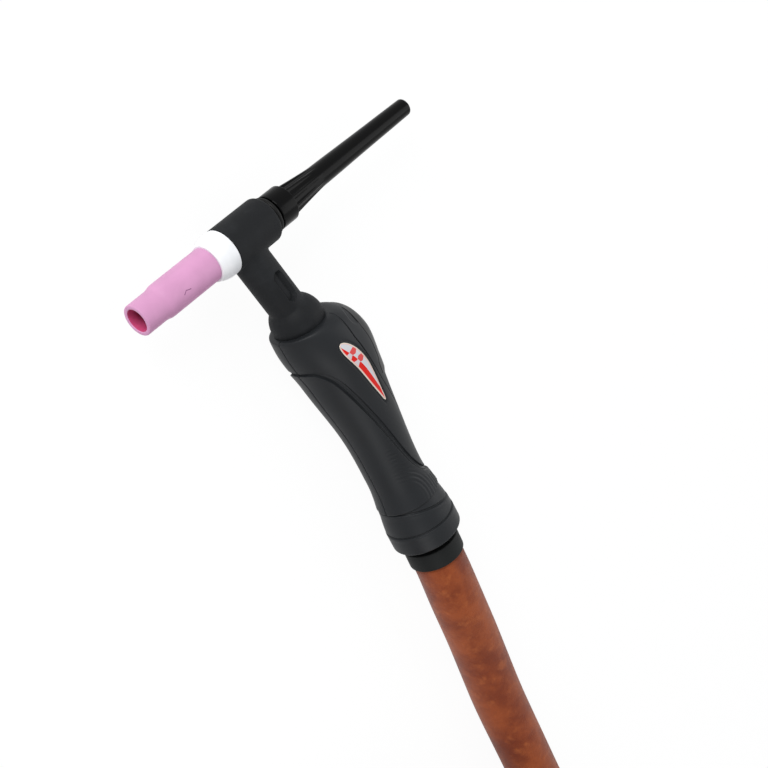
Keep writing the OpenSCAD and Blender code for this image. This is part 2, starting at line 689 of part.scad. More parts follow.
module rear_collar() {
    lip = 2.2;
    color([0.18, 0.18, 0.19]) along_handle() difference() {
        rotate_extrude() polygon(concat(
            [for (k = [0 : 8]) let (y = shell_len + 0.1 + (collar_len - lip - 0.1) * k / 8) [handle_r(y), y]],
            [for (k = [1 : 4]) [tail_r - lip * (1 - cos(22.5 * k)), handle_len - lip + lip * sin(22.5 * k)]],
            [[socket_r + 1, handle_len], [socket_r, handle_len - 0.8]],
            [for (k = [0 : 6]) let (y = handle_len - 1 - (ball_in - 1) * k / 6)
                [sqrt(pow(ball_r + fit, 2) - pow(y - ball_at, 2)), y]],
            [[collar_bore_r, ball_at - 0.5], [collar_bore_r, shell_len + 0.1]]));
        translate([0, 0, shell_len + 13.6]) ring(tail_r - 0.5 - groove_deep, 30, groove_w);
        translate([0, 0, shell_len + 4.2]) rotate([groove_tilt[0], groove_tilt[1], 0])
            ring(handle_r(shell_len + 4) - groove_deep + 0.1, 30, groove_w);
    }
}
socket_r = sqrt(pow(ball_r + fit, 2) - pow(ball_in - 1, 2));
groove_tilt = [3, 10];
collar_bore_r = ball_r + 0.15;

module joint_ball() {
    front = -10.5;
    color([0.03, 0.03, 0.03]) along_cable() difference() {
        union() {
            rotate_extrude() polygon(concat([[0, front]],
                [for (k = [0 : 16]) let (y = front + (10 - front) * k / 16)
                    [sqrt(ball_r * ball_r - y * y), y]],
                [[0, 10]]));
            cylinder(r = neck_r, h = sleeve_at + sleeve_wall);
        }
        translate([0, 0, front - 1]) cylinder(r = core_r + fit, h = 40);
    }
}

module cable_core() {
    color("saddlebrown") along_cable(-10) cylinder(r = core_r, h = 10 + sleeve_at + sleeve_wall);
}

module cable_sleeve() {
    r = sleeve_d / 2;
    color([0.12, 0.12, 0.12]) along_cable(sleeve_at) rotate_extrude() polygon([
        [neck_r + fit, 0], [r - 1, 0], [r, 1], [r, sleeve_len - 0.6], [r - 0.6, sleeve_len],
        [cable_r + 0.15, sleeve_len], [cable_r + 0.15, sleeve_wall], [neck_r + fit, sleeve_wall]]);
}

// ---------------------------------------------------------------- cable, coil and plug

function coil_point(a) =
    let (r = coil_r - coil_pitch * min(a, coil_turns - a),
         rise = coil_rise * (1 - cos(180 * clamp((a - coil_turns / 2 + 0.25) / 0.5))) / 2,
         angle = 180 - 360 * a)
    [coil_start[0] + coil_r + r * cos(angle), coil_start[1] + r * sin(angle), cable_z + rise];
coil_path = concat([[-26, 424.1, cable_z]],
    [for (k = [0 : coil_turns * coil_steps]) coil_point(k / coil_steps)],
    [[288, 424, cable_z + coil_rise]]);
// Least distance of the coil's middle line from itself, beyond half a turn
coil_least = min([for (i = [0 : 2 : len(coil_path) - 1]) for (j = [i + 12 : len(coil_path) - 1])
    norm(coil_path[i] - coil_path[j])]);

module cable_free() {
    color("chocolate") tube(free_route, cable_r, tube_sides);
}

module cable_coil() {
    echo(least_gap_of_the_coil_to_itself = coil_least - cable_d);
    color("chocolate") tube(coil_path, cable_r, 6);
}

module cable_tail() {
    color("chocolate") tube(tail_route, cable_r, tube_sides);
}

// Strap round the four turns of the coil on the side towards the torch
module coil_tie() {
    inner = coil_r - 1.75 * coil_pitch - cable_r - 0.6;
    outer = coil_r - 0.75 * coil_pitch + cable_r + 0.6;
    high = cable_d + coil_rise + 0.6;
    color("black") translate([coil_start[0] + coil_r + tie_w / 2, coil_start[1], floor_z]) rotate([0, -90, 0])
        linear_extrude(tie_w) difference() {
            translate([0, -outer - tie_t]) square([high + tie_t, outer - inner + 2 * tie_t]);
            translate([tie_t, -outer]) square([high - tie_t, outer - inner]);
        }
}

module at_plug(y = 0) {
    translate([288, plug_y - y, plug_z]) rotate([90, 0, 0]) children();
}

spigot_seat = boot_r - 1.2;
module plug_boot() {
    color([0.13, 0.13, 0.13]) at_plug() difference() {
        rotate_extrude() polygon([
            [0, -14], [cable_r + 1.2, -14], [cable_r + 2, -10], [boot_r, 6], [boot_r, boot_len - 1],
            [boot_r - 1, boot_len], [0, boot_len]]);
        translate([0, 0, -15]) cylinder(r = cable_r + 0.15, h = 15);
        translate([0, 0, -1]) cylinder(r = 9, h = boot_len + 3);
        translate([0, 0, boot_len - 12]) rotate([-90, 0, 0]) translate([0, 0, spigot_seat])
            cylinder(r = spigot_r + 2 + fit, h = 6);
    }
}

module plug_body() {
    color("goldenrod") at_plug() rotate_extrude() polygon([
        [0, 0.1], [8.9, 0.1], [8.9, boot_len + 0.1], [boot_r - 1.4, boot_len + 0.1], [boot_r - 1.4,
            boot_len + 3],
        [boot_r - 2.4, boot_len + 4], [0, boot_len + 4]]);
}

module plug_pin() {
    lug_w = 4;
    neck = 10;
    color("gold") at_plug(boot_len + 4) {
        cylinder(r = plug_pin_r - 0.4, h = neck);
        translate([0, 0, neck]) cylinder(r = plug_pin_r, h = plug_pin_len - 1 - neck);
        translate([0, 0, plug_pin_len - 1]) cylinder(r1 = plug_pin_r, r2 = plug_pin_r - 1, h = 1);
        translate([-lug_w / 2, 0, 3]) cube([lug_w, plug_pin_r + 2, 6]);
    }
}

// Gas spigot that leaves the boot's side, up and away from the cable
module gas_spigot() {
    color("gold") at_plug(boot_len - 12) rotate([-90, 0, 0]) translate([0, 0, spigot_seat]) {
        cylinder(r = spigot_r + 2, h = 4, $fn = 6);
        cylinder(r = spigot_r, h = 4 + spigot_len);
    }
}

gas_cup();
lens_screens();
gas_lens_body();
collet();
insulator_ring();
head_core();
head_cover();
neck_tube();
back_cap();
cap_insert();
cap_seal();
shell_upper();
shell_lower();
back_spine();
shell_screws();
trigger();
trigger_pin();
trigger_spring();
microswitch();
switch_plunger();
lead_coupling();
inner_lead();
rear_collar();
joint_ball();
cable_core();
cable_sleeve();
cable_free();
cable_coil();
cable_tail();
coil_tie();
plug_boot();
plug_body();
plug_pin();
gas_spigot();
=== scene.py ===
"""TIG torch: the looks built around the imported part. Objects are in metres; shapes are drawn in millimetres."""

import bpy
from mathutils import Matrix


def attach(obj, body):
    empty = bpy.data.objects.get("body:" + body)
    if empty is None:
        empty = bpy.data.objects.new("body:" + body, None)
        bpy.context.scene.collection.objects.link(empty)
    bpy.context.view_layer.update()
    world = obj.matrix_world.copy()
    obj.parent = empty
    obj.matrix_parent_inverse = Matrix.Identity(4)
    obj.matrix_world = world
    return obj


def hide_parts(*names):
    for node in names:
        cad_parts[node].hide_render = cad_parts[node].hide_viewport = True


bl_info = {
    "name": "TIG torch dressing",
    "version": (1, 0, 0),
    "blender": (4, 5, 0),
    "location": "View3D > Sidebar > Torch",
    "description": "Builds the outer mouldings and covered cable of a TIG torch around its fixed frame",
    "category": "Object",
}

import math
import bpy
import bmesh
import numpy as np
from mathutils import Matrix, Vector

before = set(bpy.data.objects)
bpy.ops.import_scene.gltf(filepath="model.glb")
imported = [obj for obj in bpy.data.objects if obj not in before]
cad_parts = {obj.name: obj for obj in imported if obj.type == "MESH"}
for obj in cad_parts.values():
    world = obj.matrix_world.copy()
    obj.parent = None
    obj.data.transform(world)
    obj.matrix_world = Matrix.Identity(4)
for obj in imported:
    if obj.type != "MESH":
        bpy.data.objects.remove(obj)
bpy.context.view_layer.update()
MM = 0.001
TAU = 2 * math.pi

ORIGIN, X_AXIS, Y_AXIS, UP = np.zeros(3), *np.eye(3)


def level(degrees):
    """A level direction at an angle from +X, and the one a quarter turn clockwise of it."""
    c, s = math.cos(math.radians(degrees)), math.sin(math.radians(degrees))
    return np.array([c, s, 0.0]), np.array([s, -c, 0.0])


# Places shared with the solids, in millimetres
HANDLE_DIR, SIDE_DIR = level(92.5)
BALL = np.array([-24.329, 174.012, 0.0])
SHELL_LEN, HANDLE_LEN, BALL_AT = 107.5, 131.5, 124.0
MOUTH = BALL - BALL_AT * HANDLE_DIR
NECK_DIR, NECK_SIDE = level(102.3)
MOUTH_R, SHOULDER_R, WAIST_R, TAIL_R = 14.8, 20.6, 13.8, 17.8
SHOULDER_AT, WAIST_AT, FLARE_LEN = 18.0, 92.0, 34.5
FLOOR_Z = -SHOULDER_R
CABLE_Z, PLUG_Z = -7.6, -5.6
COIL_AT, COIL_R, COIL_PITCH, COIL_RISE, COIL_TURNS = (131.0, 450.0), 157.0, 26.9, 26.4, 4.5
PLUG_X, BOOT_AT, BOOT_LEN = 288.0, 222.0, 52.0
CABLE_R = 13.0


# ---------- numbers

def ease(t):
    """Smooth step from 0 to 1: 3t^2 - 2t^3."""
    t = np.clip(t, 0.0, 1.0)
    return t * t * (3 - 2 * t)


def swell(a, b, t):
    """From a to b along half a cosine wave."""
    return a + (b - a) * (1 - np.cos(math.pi * np.clip(t, 0.0, 1.0))) / 2


def rounding(t):
    """Drop of a rounded edge: 1 at the edge (t = 0), 0 from t = 1, a quarter circle in between."""
    return 1 - np.sqrt(np.clip(1 - (1 - np.clip(t, 0.0, 1.0)) ** 2, 0, 1))


def handle_r(y):
    """Radius of the grip: a quarter ellipse to the shoulder, a half wave in to the waist, one out to the rear."""
    y = np.asarray(y, float)
    nose = MOUTH_R + (SHOULDER_R - MOUTH_R) * (1 - rounding(y / SHOULDER_AT))
    back = np.maximum(y - SHOULDER_AT, 0) / (WAIST_AT - SHOULDER_AT)
    waist = swell(SHOULDER_R, WAIST_R, back ** 0.7)
    rear = swell(WAIST_R, TAIL_R, (y - WAIST_AT) / FLARE_LEN)
    return np.where(y < SHOULDER_AT, nose, np.where(y < WAIST_AT, waist, rear))


def handle_shift(y):
    """Offset of the section's centre: a lean that fades over the front, a steeper one at the rim, less a bow."""
    y = np.asarray(y, float)
    lean, fade, rim_fade = 3.9, 30.0, 3.5
    bow = 0.4 * (1 - np.cos(TAU * np.clip((y - 35) / 60, 0, 1)))
    return lean * (1 - swell(0, 1, y / fade)) + lean * np.exp(-y / rim_fade) - bow


def swept(angle, place, power):
    """Distance from the mouth of a line round the grip: start + span / (1 + (place / angle) ^ power)."""
    start, span, least = 18.0, 83.5, 4.0
    return start + span / (1 + (place / np.maximum(angle, least)) ** power)


def fold(angle):
    """The same angle on the upper side, in degrees."""
    angle = np.mod(angle, 360.0)
    return np.where(angle > 180, 360 - angle, angle)


def on_handle(x, y, z):
    """Points of the grip's own axes, in millimetres, as points of the frame, in metres."""
    x, y, z = np.broadcast_arrays(x, y, z)
    return (MOUTH + x[..., None] * SIDE_DIR + y[..., None] * HANDLE_DIR + z[..., None] * UP) * MM


def on_grip(r, angle, y, side=1):
    """Points at radius r and an angle in degrees round the grip's leaning sections; side -1 is the lower half."""
    a = np.radians(angle)
    return on_handle(handle_shift(y) + r * np.cos(a), y, side * r * np.sin(a))


def closed_wall(outer, inner):
    """Rows of outer and inner points joined into one closed wall, folded shut at its first and last row."""
    loop = np.concatenate([outer, inner[:, ::-1]], axis=1)
    fold_in = np.concatenate([inner, inner[:, ::-1]], axis=1)
    return np.concatenate([fold_in[:1], loop, fold_in[-1:]])


def unit_ways(points):
    """Unit tangents of a run of points."""
    way = np.gradient(points, axis=0)
    return way / np.linalg.norm(way, axis=1)[:, None]


def run_lengths(points):
    """Distance run along a line at each of its points."""
    return np.concatenate([[0], np.cumsum(np.linalg.norm(np.diff(points, axis=0), axis=1))])


def fillet(points, radius, steps=6):
    """A profile with its inner corners rounded: each becomes a curve of weights (1-t)^2, 2t(1-t), t^2."""
    points = np.asarray(points, float)
    radii = np.broadcast_to(radius, (len(points),))
    out = [points[0]]
    for k in range(1, len(points) - 1):
        p, a, b = points[k], points[k - 1] - points[k], points[k + 1] - points[k]
        la, lb = np.linalg.norm(a), np.linalg.norm(b)
        cut = min(radii[k], la * 0.48, lb * 0.48)
        if cut < 1e-4:
            out.append(p)
            continue
        t = np.linspace(0, 1, steps)[:, None]
        out.extend((1 - t) ** 2 * (p + a / la * cut) + 2 * t * (1 - t) * p + t ** 2 * (p + b / lb * cut))
    out.append(points[-1])
    return np.array(out)


# ---------- meshes

class Sheets:
    """Collects grids of points into one mesh. Each closed grid is turned so that its faces point outwards."""

    def __init__(self):
        self.points, self.faces, self.slots, self.uvs, self.count = [], [], [], [], 0

    def add(self, grid, around=True, slot=0, uv=None, turn=None):
        """grid is rows by columns by 3, in metres; around joins the last column to the first."""
        grid = np.asarray(grid, float)
        rows, cols = grid.shape[:2]
        r0, c0 = np.meshgrid(np.arange(rows - 1), np.arange(cols if around else cols - 1), indexing="ij")
        r1, c1 = r0 + 1, (c0 + 1) % cols
        corners = [r0 * cols + c0, r0 * cols + c1, r1 * cols + c1, r1 * cols + c0]
        quads = np.stack(corners, -1).reshape(-1, 4)
        p = grid.reshape(-1, 3)
        if turn is None:
            centre = p.mean(0)
            a, b, d, e = (p[quads[:, k]] - centre for k in range(4))
            turn = np.einsum("ij,ij->i", a, np.cross(b, d) + np.cross(d, e)).sum() < 0
        if uv is None:
            uv = np.stack(np.meshgrid(np.linspace(0, 1, rows), np.linspace(0, 1, cols), indexing="ij"), -1)
        uv = np.asarray(uv, float).reshape(-1, 2)[quads]
        if turn:
            quads, uv = quads[:, ::-1], uv[:, ::-1]
        self.points.append(p)
        self.faces.append(quads + self.count)
        self.slots.append(np.broadcast_to(slot, r0.shape).reshape(-1))
        self.uvs.append(uv.reshape(-1, 2))
        self.count += len(p)
        return self

    def piece(self, name, body, slot, materials, replaces=(), weld=1e-6, crease=35):
        """Makes the object: welds closed ends, shades it smooth but for edges over the crease angle, lets it ride."""
        points, quads = np.concatenate(self.points), np.concatenate(self.faces)
        mesh = bpy.data.meshes.new(name)
        mesh.vertices.add(len(points))
        mesh.vertices.foreach_set("co", points.ravel())
        mesh.loops.add(quads.size)
        mesh.loops.foreach_set("vertex_index", quads.ravel())
        mesh.polygons.add(len(quads))
        mesh.polygons.foreach_set("loop_start", np.arange(0, quads.size, 4))
        mesh.polygons.foreach_set("loop_total", np.full(len(quads), 4))
        mesh.polygons.foreach_set("material_index", np.concatenate(self.slots).astype(np.int32))
        layer = mesh.uv_layers.new(name="UVMap")
        layer.data.foreach_set("uv", np.concatenate(self.uvs).ravel())
        mesh.update(calc_edges=True)
        bm = bmesh.new()
        bm.from_mesh(mesh)
        bmesh.ops.remove_doubles(bm, verts=bm.verts, dist=weld)
        bmesh.ops.dissolve_degenerate(bm, edges=bm.edges, dist=weld * 0.1)
        bm.to_mesh(mesh)
        bm.free()
        mesh.validate()
        mesh.shade_smooth()
        mesh.set_sharp_from_angle(angle=math.radians(crease))
        for m in materials:
            mesh.materials.append(m)
        obj = bpy.data.objects.new(name, mesh)
        bpy.context.scene.collection.objects.link(obj)
        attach(obj, body)
        if replaces:
            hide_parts(*replaces)
        return obj


def turned(profile, origin, axis, side, sides):
    """A profile of (distance along the axis s, radius r) carried round the axis from the side direction."""
    profile = np.asarray(profile, float)
    a = np.arange(sides) * TAU / sides
    up = np.cross(axis, side)
    s, r = profile[:, 0][:, None, None], profile[:, 1][:, None, None]
    ring = np.cos(a)[None, :, None] * side + np.sin(a)[None, :, None] * up
    return (origin + s * axis + r * ring) * MM


# ---------- materials

class Socket:
    """One value of a material; arithmetic on it adds Math nodes."""

    def __init__(self, finish, out):
        self.finish, self.out = finish, out

    def _math(self, op, *parts):
        return self.finish.node("ShaderNodeMath", {"operation": op}, dict(enumerate(parts)))

    def __add__(self, other):
        return self._math("ADD", self, other)

    def __sub__(self, other):
        return self._math("SUBTRACT", self, other)

    def __mul__(self, other):
        return self._math("MULTIPLY", self, other)

    def __gt__(self, other):
        return self._math("GREATER_THAN", self, other)

    def __lt__(self, other):
        return self._math("LESS_THAN", self, other)

    def max(self, other):
        return self._math("MAXIMUM", self, other)

    def sin(self):
        return self._math("SINE", self)

    def between(self, low, high):
        """0 below low, 1 above high, smooth in between."""
        return self.finish.node("ShaderNodeMapRange", {"interpolation_type": "SMOOTHSTEP"},
                                {"Value": self, "From Min": low, "From Max": high})


class Finish:
    """A material around one Principled shader."""

    def __init__(self, name, color, rough, metallic=0.0, sheen=0.0, specular=0.5):
        self.mat = bpy.data.materials.new(name)
        self.mat.use_nodes = True
        self.tree = self.mat.node_tree
        self.tree.nodes.clear()
        self.out = self.tree.nodes.new("ShaderNodeOutputMaterial")
        self.shader = self.tree.nodes.new("ShaderNodeBsdfPrincipled")
        self.tree.links.new(self.shader.outputs[0], self.out.inputs[0])
        for key, value in {"Base Color": (*color, 1.0), "Roughness": rough, "Metallic": metallic, "IOR": 1.45,
                           "Sheen Weight": sheen, "Specular IOR Level": specular}.items():
            self.shader.inputs[key].default_value = value
        self.mat.diffuse_color = (*color, 1.0)

    def node(self, kind, settings=None, inputs=None, output=0):
        """Adds a node: settings first, then the values or links of its sockets."""
        n = self.tree.nodes.new(kind)
        for key, value in (settings or {}).items():
            setattr(n, key, value)
        for key, value in (inputs or {}).items():
            if isinstance(value, Socket):
                self.tree.links.new(value.out, n.inputs[key])
            else:
                n.inputs[key].default_value = value
        return Socket(self, n.outputs[output])

    def place(self, where="Object", scale=(1, 1, 1), move=(0, 0, 0)):
        """Coordinates of the piece: Object in metres, or UV."""
        at = self.node("ShaderNodeTexCoord", output=where)
        return self.node("ShaderNodeMapping", None, {"Vector": at, "Location": move, "Scale": scale})

    def parts(self, vector):
        """The three coordinates of a vector."""
        return [self.node("ShaderNodeSeparateXYZ", None, {0: vector}, k) for k in range(3)]

    def noise(self, at, scale, detail=4.0, rough=0.55):
        """Noise with scale cells a metre."""
        sockets = {"Vector": at, "Scale": scale, "Detail": detail, "Roughness": rough}
        return self.node("ShaderNodeTexNoise", None, sockets)

    def mix(self, factor, a, b):
        """Colour a where factor is 0 and b where it is 1."""
        n = self.tree.nodes.new("ShaderNodeMix")
        n.data_type = "RGBA"
        for key, value in ((0, factor), (6, a), (7, b)):
            if isinstance(value, Socket):
                self.tree.links.new(value.out, n.inputs[key])
            else:
                n.inputs[key].default_value = value if key == 0 else (*value, 1.0)
        return Socket(self, n.outputs[2])

    def set(self, **sockets):
        """Links the shader's color and rough sockets."""
        names = {"color": "Base Color", "rough": "Roughness"}
        for key, value in sockets.items():
            self.tree.links.new(value.out, self.shader.inputs[names[key]])
        return self

    def bump(self, height, depth, strength=1.0):
        """Raises the surface by height times depth millimetres."""
        sockets = {"Height": height, "Distance": depth * MM, "Strength": strength}
        n = self.node("ShaderNodeBump", None, sockets)
        self.tree.links.new(n.out, self.shader.inputs["Normal"])
        return self


def scaled(color, factors):
    """A colour times one factor or one for each channel, held at 1."""
    return tuple(np.minimum(1, np.array(color) * factors))


def alumina(props):
    """Fired pink alumina: fine grain, soft cloudy shifts of tone."""
    f = Finish("pink_alumina", props.cup_color, 0.5, specular=0.35)
    at = f.place()
    cloud = f.noise(at, 90, 3)
    base = tuple(props.cup_color)
    f.set(color=f.mix(cloud.between(0.3, 0.75), scaled(base, 0.95), scaled(base, 1.04)),
          rough=f.noise(at, 900, 2) * 0.16 + 0.42)
    return f.bump(f.noise(at, 1600, 3), 0.03, 0.5)


def bore_painted_shade(props):
    """Painted light and shade of the cup's bore: a deep pink standing for light bounced inside the cup, darkened
    inwards as painted shade.
    """
    f = Finish("bore_painted_shade", props.bore_shade_color, 0.55, specular=0.3)
    x = f.parts(f.place())[0]
    # painted shade: the bore's colour falls to 0.55 of itself deeper inside the cup, away from the front
    f.set(color=f.mix(x.between(0.036, 0.061), scaled(props.bore_shade_color, 0.55), tuple(props.bore_shade_color)))
    return f


def ring_plastic():
    """White moulded plastic with a faint cloud."""
    f = Finish("white_insulator", (0.9, 0.9, 0.92), 0.42, specular=0.4)
    at = f.place()
    f.set(color=f.mix(f.noise(at, 120, 3).between(0.35, 0.7), (0.85, 0.86, 0.88), (0.93, 0.93, 0.95)),
          rough=f.noise(at, 700, 2) * 0.2 + 0.32)
    return f.bump(f.noise(at, 1300, 3), 0.02, 0.5)


def rubber(name, color, rough=0.62, patch=1.0, grain=0.035):
    """Moulded rubber: fine grain, dusty patches that lift colour and roughness."""
    f = Finish(name, color, rough, specular=0.16)
    at = f.place()
    dust = f.noise(at, 75, 4, 0.6).between(0.45, 0.8) * patch
    fine = f.noise(at, 1500, 3)
    f.set(color=f.mix(dust, color, tuple(c * 1.7 + 0.004 for c in color)),
          rough=fine * 0.14 + dust * 0.12 + (rough - 0.08))
    return f.bump(fine, grain, 0.6)


def grip_plastic(name, color, rough, grain=0.03):
    """Satin moulded plastic: tiny spark grain, broad shifts in gloss."""
    f = Finish(name, color, rough, specular=0.2)
    at = f.place()
    broad = f.noise(at, 40, 3)
    fine = f.noise(at, 2200, 2)
    f.set(color=f.mix(broad.between(0.3, 0.75), scaled(color, 0.92), scaled(color, 1.1)),
          rough=broad * 0.12 + fine * 0.1 + (rough - 0.1))
    return f.bump(fine, grain, 0.5)


def cap_plastic():
    """Glossy moulded phenolic: near black, faint flow lines along the cap and fine scratches."""
    f = Finish("cap_gloss_black", (0.0015, 0.0015, 0.0017), 0.22, specular=0.1)
    flow = f.noise(f.place(scale=(25, 400, 400)), 1.0, 3)
    f.set(rough=flow * 0.16 + 0.15)
    return f.bump(f.noise(f.place(scale=(60, 700, 700)), 1.0, 2), 0.015, 0.4)


def gloss_black():
    """Polished black plastic of the joint's ball."""
    f = Finish("ball_gloss_black", (0.003, 0.003, 0.0035), 0.14, specular=0.3)
    f.set(rough=f.noise(f.place(), 300, 3) * 0.1 + 0.08)
    return f.bump(f.noise(f.place(), 500, 2), 0.008, 0.3)


def suede(props):
    """Suede leather: mottled rust tones, short nap and small pale flecks."""
    c = tuple(props.leather_color)
    f = Finish("rust_suede", c, 0.85, specular=0.2, sheen=0.25)
    at = f.place()
    cloud = f.noise(at, 55, 5, 0.62)
    blot = f.noise(f.place(move=(3.1, 1.7, 0.4)), 170, 4, 0.6)
    nap = f.noise(at, 1400, 4, 0.7)
    tone = f.mix(cloud.between(0.32, 0.68), scaled(c, (0.62, 0.5, 0.42)), scaled(c, (1.12, 1.2, 1.25)))
    tone = f.mix(blot.between(0.52, 0.75) * 0.55, tone, scaled(c, (1.45, 1.9, 2.3)))
    tone = f.mix(nap.between(0.6, 0.78) * 0.4, tone, scaled(c, (1.5, 2.2, 3.2)))
    f.set(color=tone, rough=nap * 0.2 + 0.72)
    return f.bump(nap * 0.6 + blot * 0.8 + cloud * 1.2, 0.35, 0.7)


def brushed(name, color, rough=0.3):
    """Turned metal: fine rings round the part and a slight tarnish."""
    f = Finish(name, color, rough, metallic=1.0)
    at = f.place()
    tarnish = f.noise(at, 160, 4)
    f.set(color=f.mix(tarnish.between(0.35, 0.7), scaled(color, 0.75), color),
          rough=f.noise(at, 900, 3) * 0.2 + (rough - 0.08))
    return f.bump(f.noise(at, 1200, 2), 0.01, 0.3)


def webbing():
    """Woven strap: ribs across and along, from the strap's own UV."""
    f = Finish("strap_weave", (0.012, 0.012, 0.013), 0.8, sheen=0.3)
    u, v, _ = f.parts(f.place("UV"))
    weave = (u * 900.0).sin() * (v * 60.0).sin()
    f.set(color=f.mix(weave.between(-0.6, 0.9), (0.006, 0.006, 0.006), (0.022, 0.022, 0.024)))
    return f.bump(weave, 0.12, 0.7)


# ---------- settings

def tint(name, what, default):
    """A colour setting."""
    return bpy.props.FloatVectorProperty(name=name, description=f"Colour of the {what}", subtype="COLOR", size=3,
                                         default=default)


def width(name, what, default, low, high):
    """A width setting, in metres."""
    return bpy.props.FloatProperty(name=name, description=f"Width of the {what}", subtype="DISTANCE",
                                   default=default, min=low, max=high)


class TorchSettings(bpy.types.PropertyGroup):
    """Sizes and colours of the torch's looks."""
    cup_color: tint("Cup", "gas cup", (0.62, 0.3, 0.5))
    # the bore's deep pink is painted light and shade of the same pink ceramic as the cup
    bore_shade_color: tint("Bore", "gas cup's inside", (0.52, 0.06, 0.17))
    leather_color: tint("Cable cover", "suede cover", (0.3, 0.06, 0.012))
    grip_color: tint("Grip", "grip's shells", (0.013, 0.0145, 0.0165))
    head_color: tint("Head", "head's rubber", (0.009, 0.0098, 0.011))
    seam: width("Seam", "seams between mouldings", 0.0003, 0.0001, 0.0006)
    groove: width("Groove", "collar's two grooves", 0.0013, 0.0006, 0.002)


def settings():
    """The torch's settings of this scene."""
    return bpy.context.scene.torch_settings


# ---------- stage

class TORCH_OT_stage(bpy.types.Operator):
    """Camera, lamps, world and the white floor"""
    bl_idname = "torch.stage"
    bl_label = "Stage"

    def execute(self, context):
        scene = context.scene
        scene.view_settings.view_transform = "Standard"
        cam = bpy.data.objects.new("camera", bpy.data.cameras.new("camera"))
        right, up, back = (-0.6167, 0.3821, 0.6883), (-0.5761, -0.8149, -0.0639), (0.5364, -0.4359, 0.7227)
        place = Matrix((right, up, back)).transposed().to_4x4()
        place.translation = (0.39865, -0.2521, 0.58985)
        cam.matrix_world = place
        focal_px, width_px = 1733, 768
        cam.data.sensor_width, cam.data.lens = 36.0, 36.0 * focal_px / width_px
        cam.data.clip_start, cam.data.clip_end = 0.01, 20.0
        scene.collection.objects.link(cam)
        scene.camera = cam

        for name, spot, look, size, watts in (
                ("key", (0.4, -0.8, 0.5), (-0.02, 0.08, 0), 0.5, 9.0),
                ("fill", (-0.75, 0.15, 0.7), (-0.02, 0.08, 0), 0.7, 3.0),
                ("rim", (0.55, 0.75, 0.5), (-0.02, 0.1, 0), 0.4, 2.0)):
            lamp = bpy.data.objects.new(name, bpy.data.lights.new(name, "AREA"))
            lamp.data.shape, lamp.data.size, lamp.data.energy = "SQUARE", size, watts
            turn = (Vector(look) - Vector(spot)).to_track_quat("-Z", "Y").to_matrix().to_4x4()
            turn.translation = spot
            lamp.matrix_world = turn
            scene.collection.objects.link(lamp)

        world = bpy.data.worlds.new("studio")
        scene.world = world
        world.use_nodes = True
        tree = world.node_tree
        tree.nodes.clear()
        out = tree.nodes.new("ShaderNodeOutputWorld")
        path = tree.nodes.new("ShaderNodeLightPath")
        seen = path.outputs["Is Camera Ray"]
        for ray in ("Is Glossy Ray", "Is Transmission Ray"):
            either = tree.nodes.new("ShaderNodeMath")
            either.operation = "MAXIMUM"
            tree.links.new(seen, either.inputs[0])
            tree.links.new(path.outputs[ray], either.inputs[1])
            seen = either.outputs[0]
        room, white = tree.nodes.new("ShaderNodeBackground"), tree.nodes.new("ShaderNodeBackground")
        for shade, color, strength in ((room, (0.95, 0.97, 1.0, 1), 0.34), (white, (1, 1, 1, 1), 1.0)):
            shade.inputs[0].default_value, shade.inputs[1].default_value = color, strength
        both = tree.nodes.new("ShaderNodeMixShader")
        for k, source in enumerate((seen, room.outputs[0], white.outputs[0])):
            tree.links.new(source, both.inputs[k])
        tree.links.new(both.outputs[0], out.inputs[0])

        mesh = bpy.data.meshes.new("floor")
        half, z = 4, FLOOR_Z * MM - 0.0002
        mesh.from_pydata([(-half, -half, z), (half, -half, z), (half, half, z), (-half, half, z)], [], [(0, 1, 2, 3)])
        floor = bpy.data.objects.new("floor", mesh)
        scene.collection.objects.link(floor)
        f = Finish("floor_white", (0.9, 0.9, 0.9), 0.9, specular=0.0)
        rays = [f.node("ShaderNodeLightPath", output=f"Is {kind} Ray") for kind in ("Camera", "Glossy", "Transmission")]
        glow = f.node("ShaderNodeEmission", None, {"Color": (1, 1, 1, 1), "Strength": 1.02})
        glow_share = 0.93
        mix = f.node("ShaderNodeMixShader", None, {0: rays[0].max(rays[1]).max(rays[2]) * glow_share, 2: glow})
        f.tree.links.new(f.shader.outputs[0], mix.out.node.inputs[1])
        f.tree.links.new(mix.out, f.out.inputs[0])
        mesh.materials.append(f.mat)
        return {"FINISHED"}


# ---------- cable

FREE_ROUTE = [(-24.3, 188.2, 0), (-24.3, 206, 0), (-24.4, 224, -1), (-25.4, 246, -3.6), (-26, 270, -6.2),
              *((x, y, CABLE_Z) for x, y in ((-25.8, 300), (-25.8, 344), (-26.2, 384), (-26, 424)))]
TAIL_ROUTE = [(PLUG_X, y, z) for y, z in ((424, CABLE_Z + COIL_RISE), (390, CABLE_Z + COIL_RISE), (356, 16), (322, 8),
                                          (290, -1), (256, PLUG_Z), (BOOT_AT, PLUG_Z))]


def coil_point(a):
    """Middle of the coil after a turns: it winds in, climbs to the upper layer in half a turn, winds out again."""
    r = COIL_R - COIL_PITCH * np.minimum(a, COIL_TURNS - a)
    rise = swell(0, COIL_RISE, (a - 2.0) / 0.5)
    w = math.pi - TAU * a
    return np.stack([COIL_AT[0] + r * np.cos(w), COIL_AT[1] + r * np.sin(w), CABLE_Z + rise], -1)


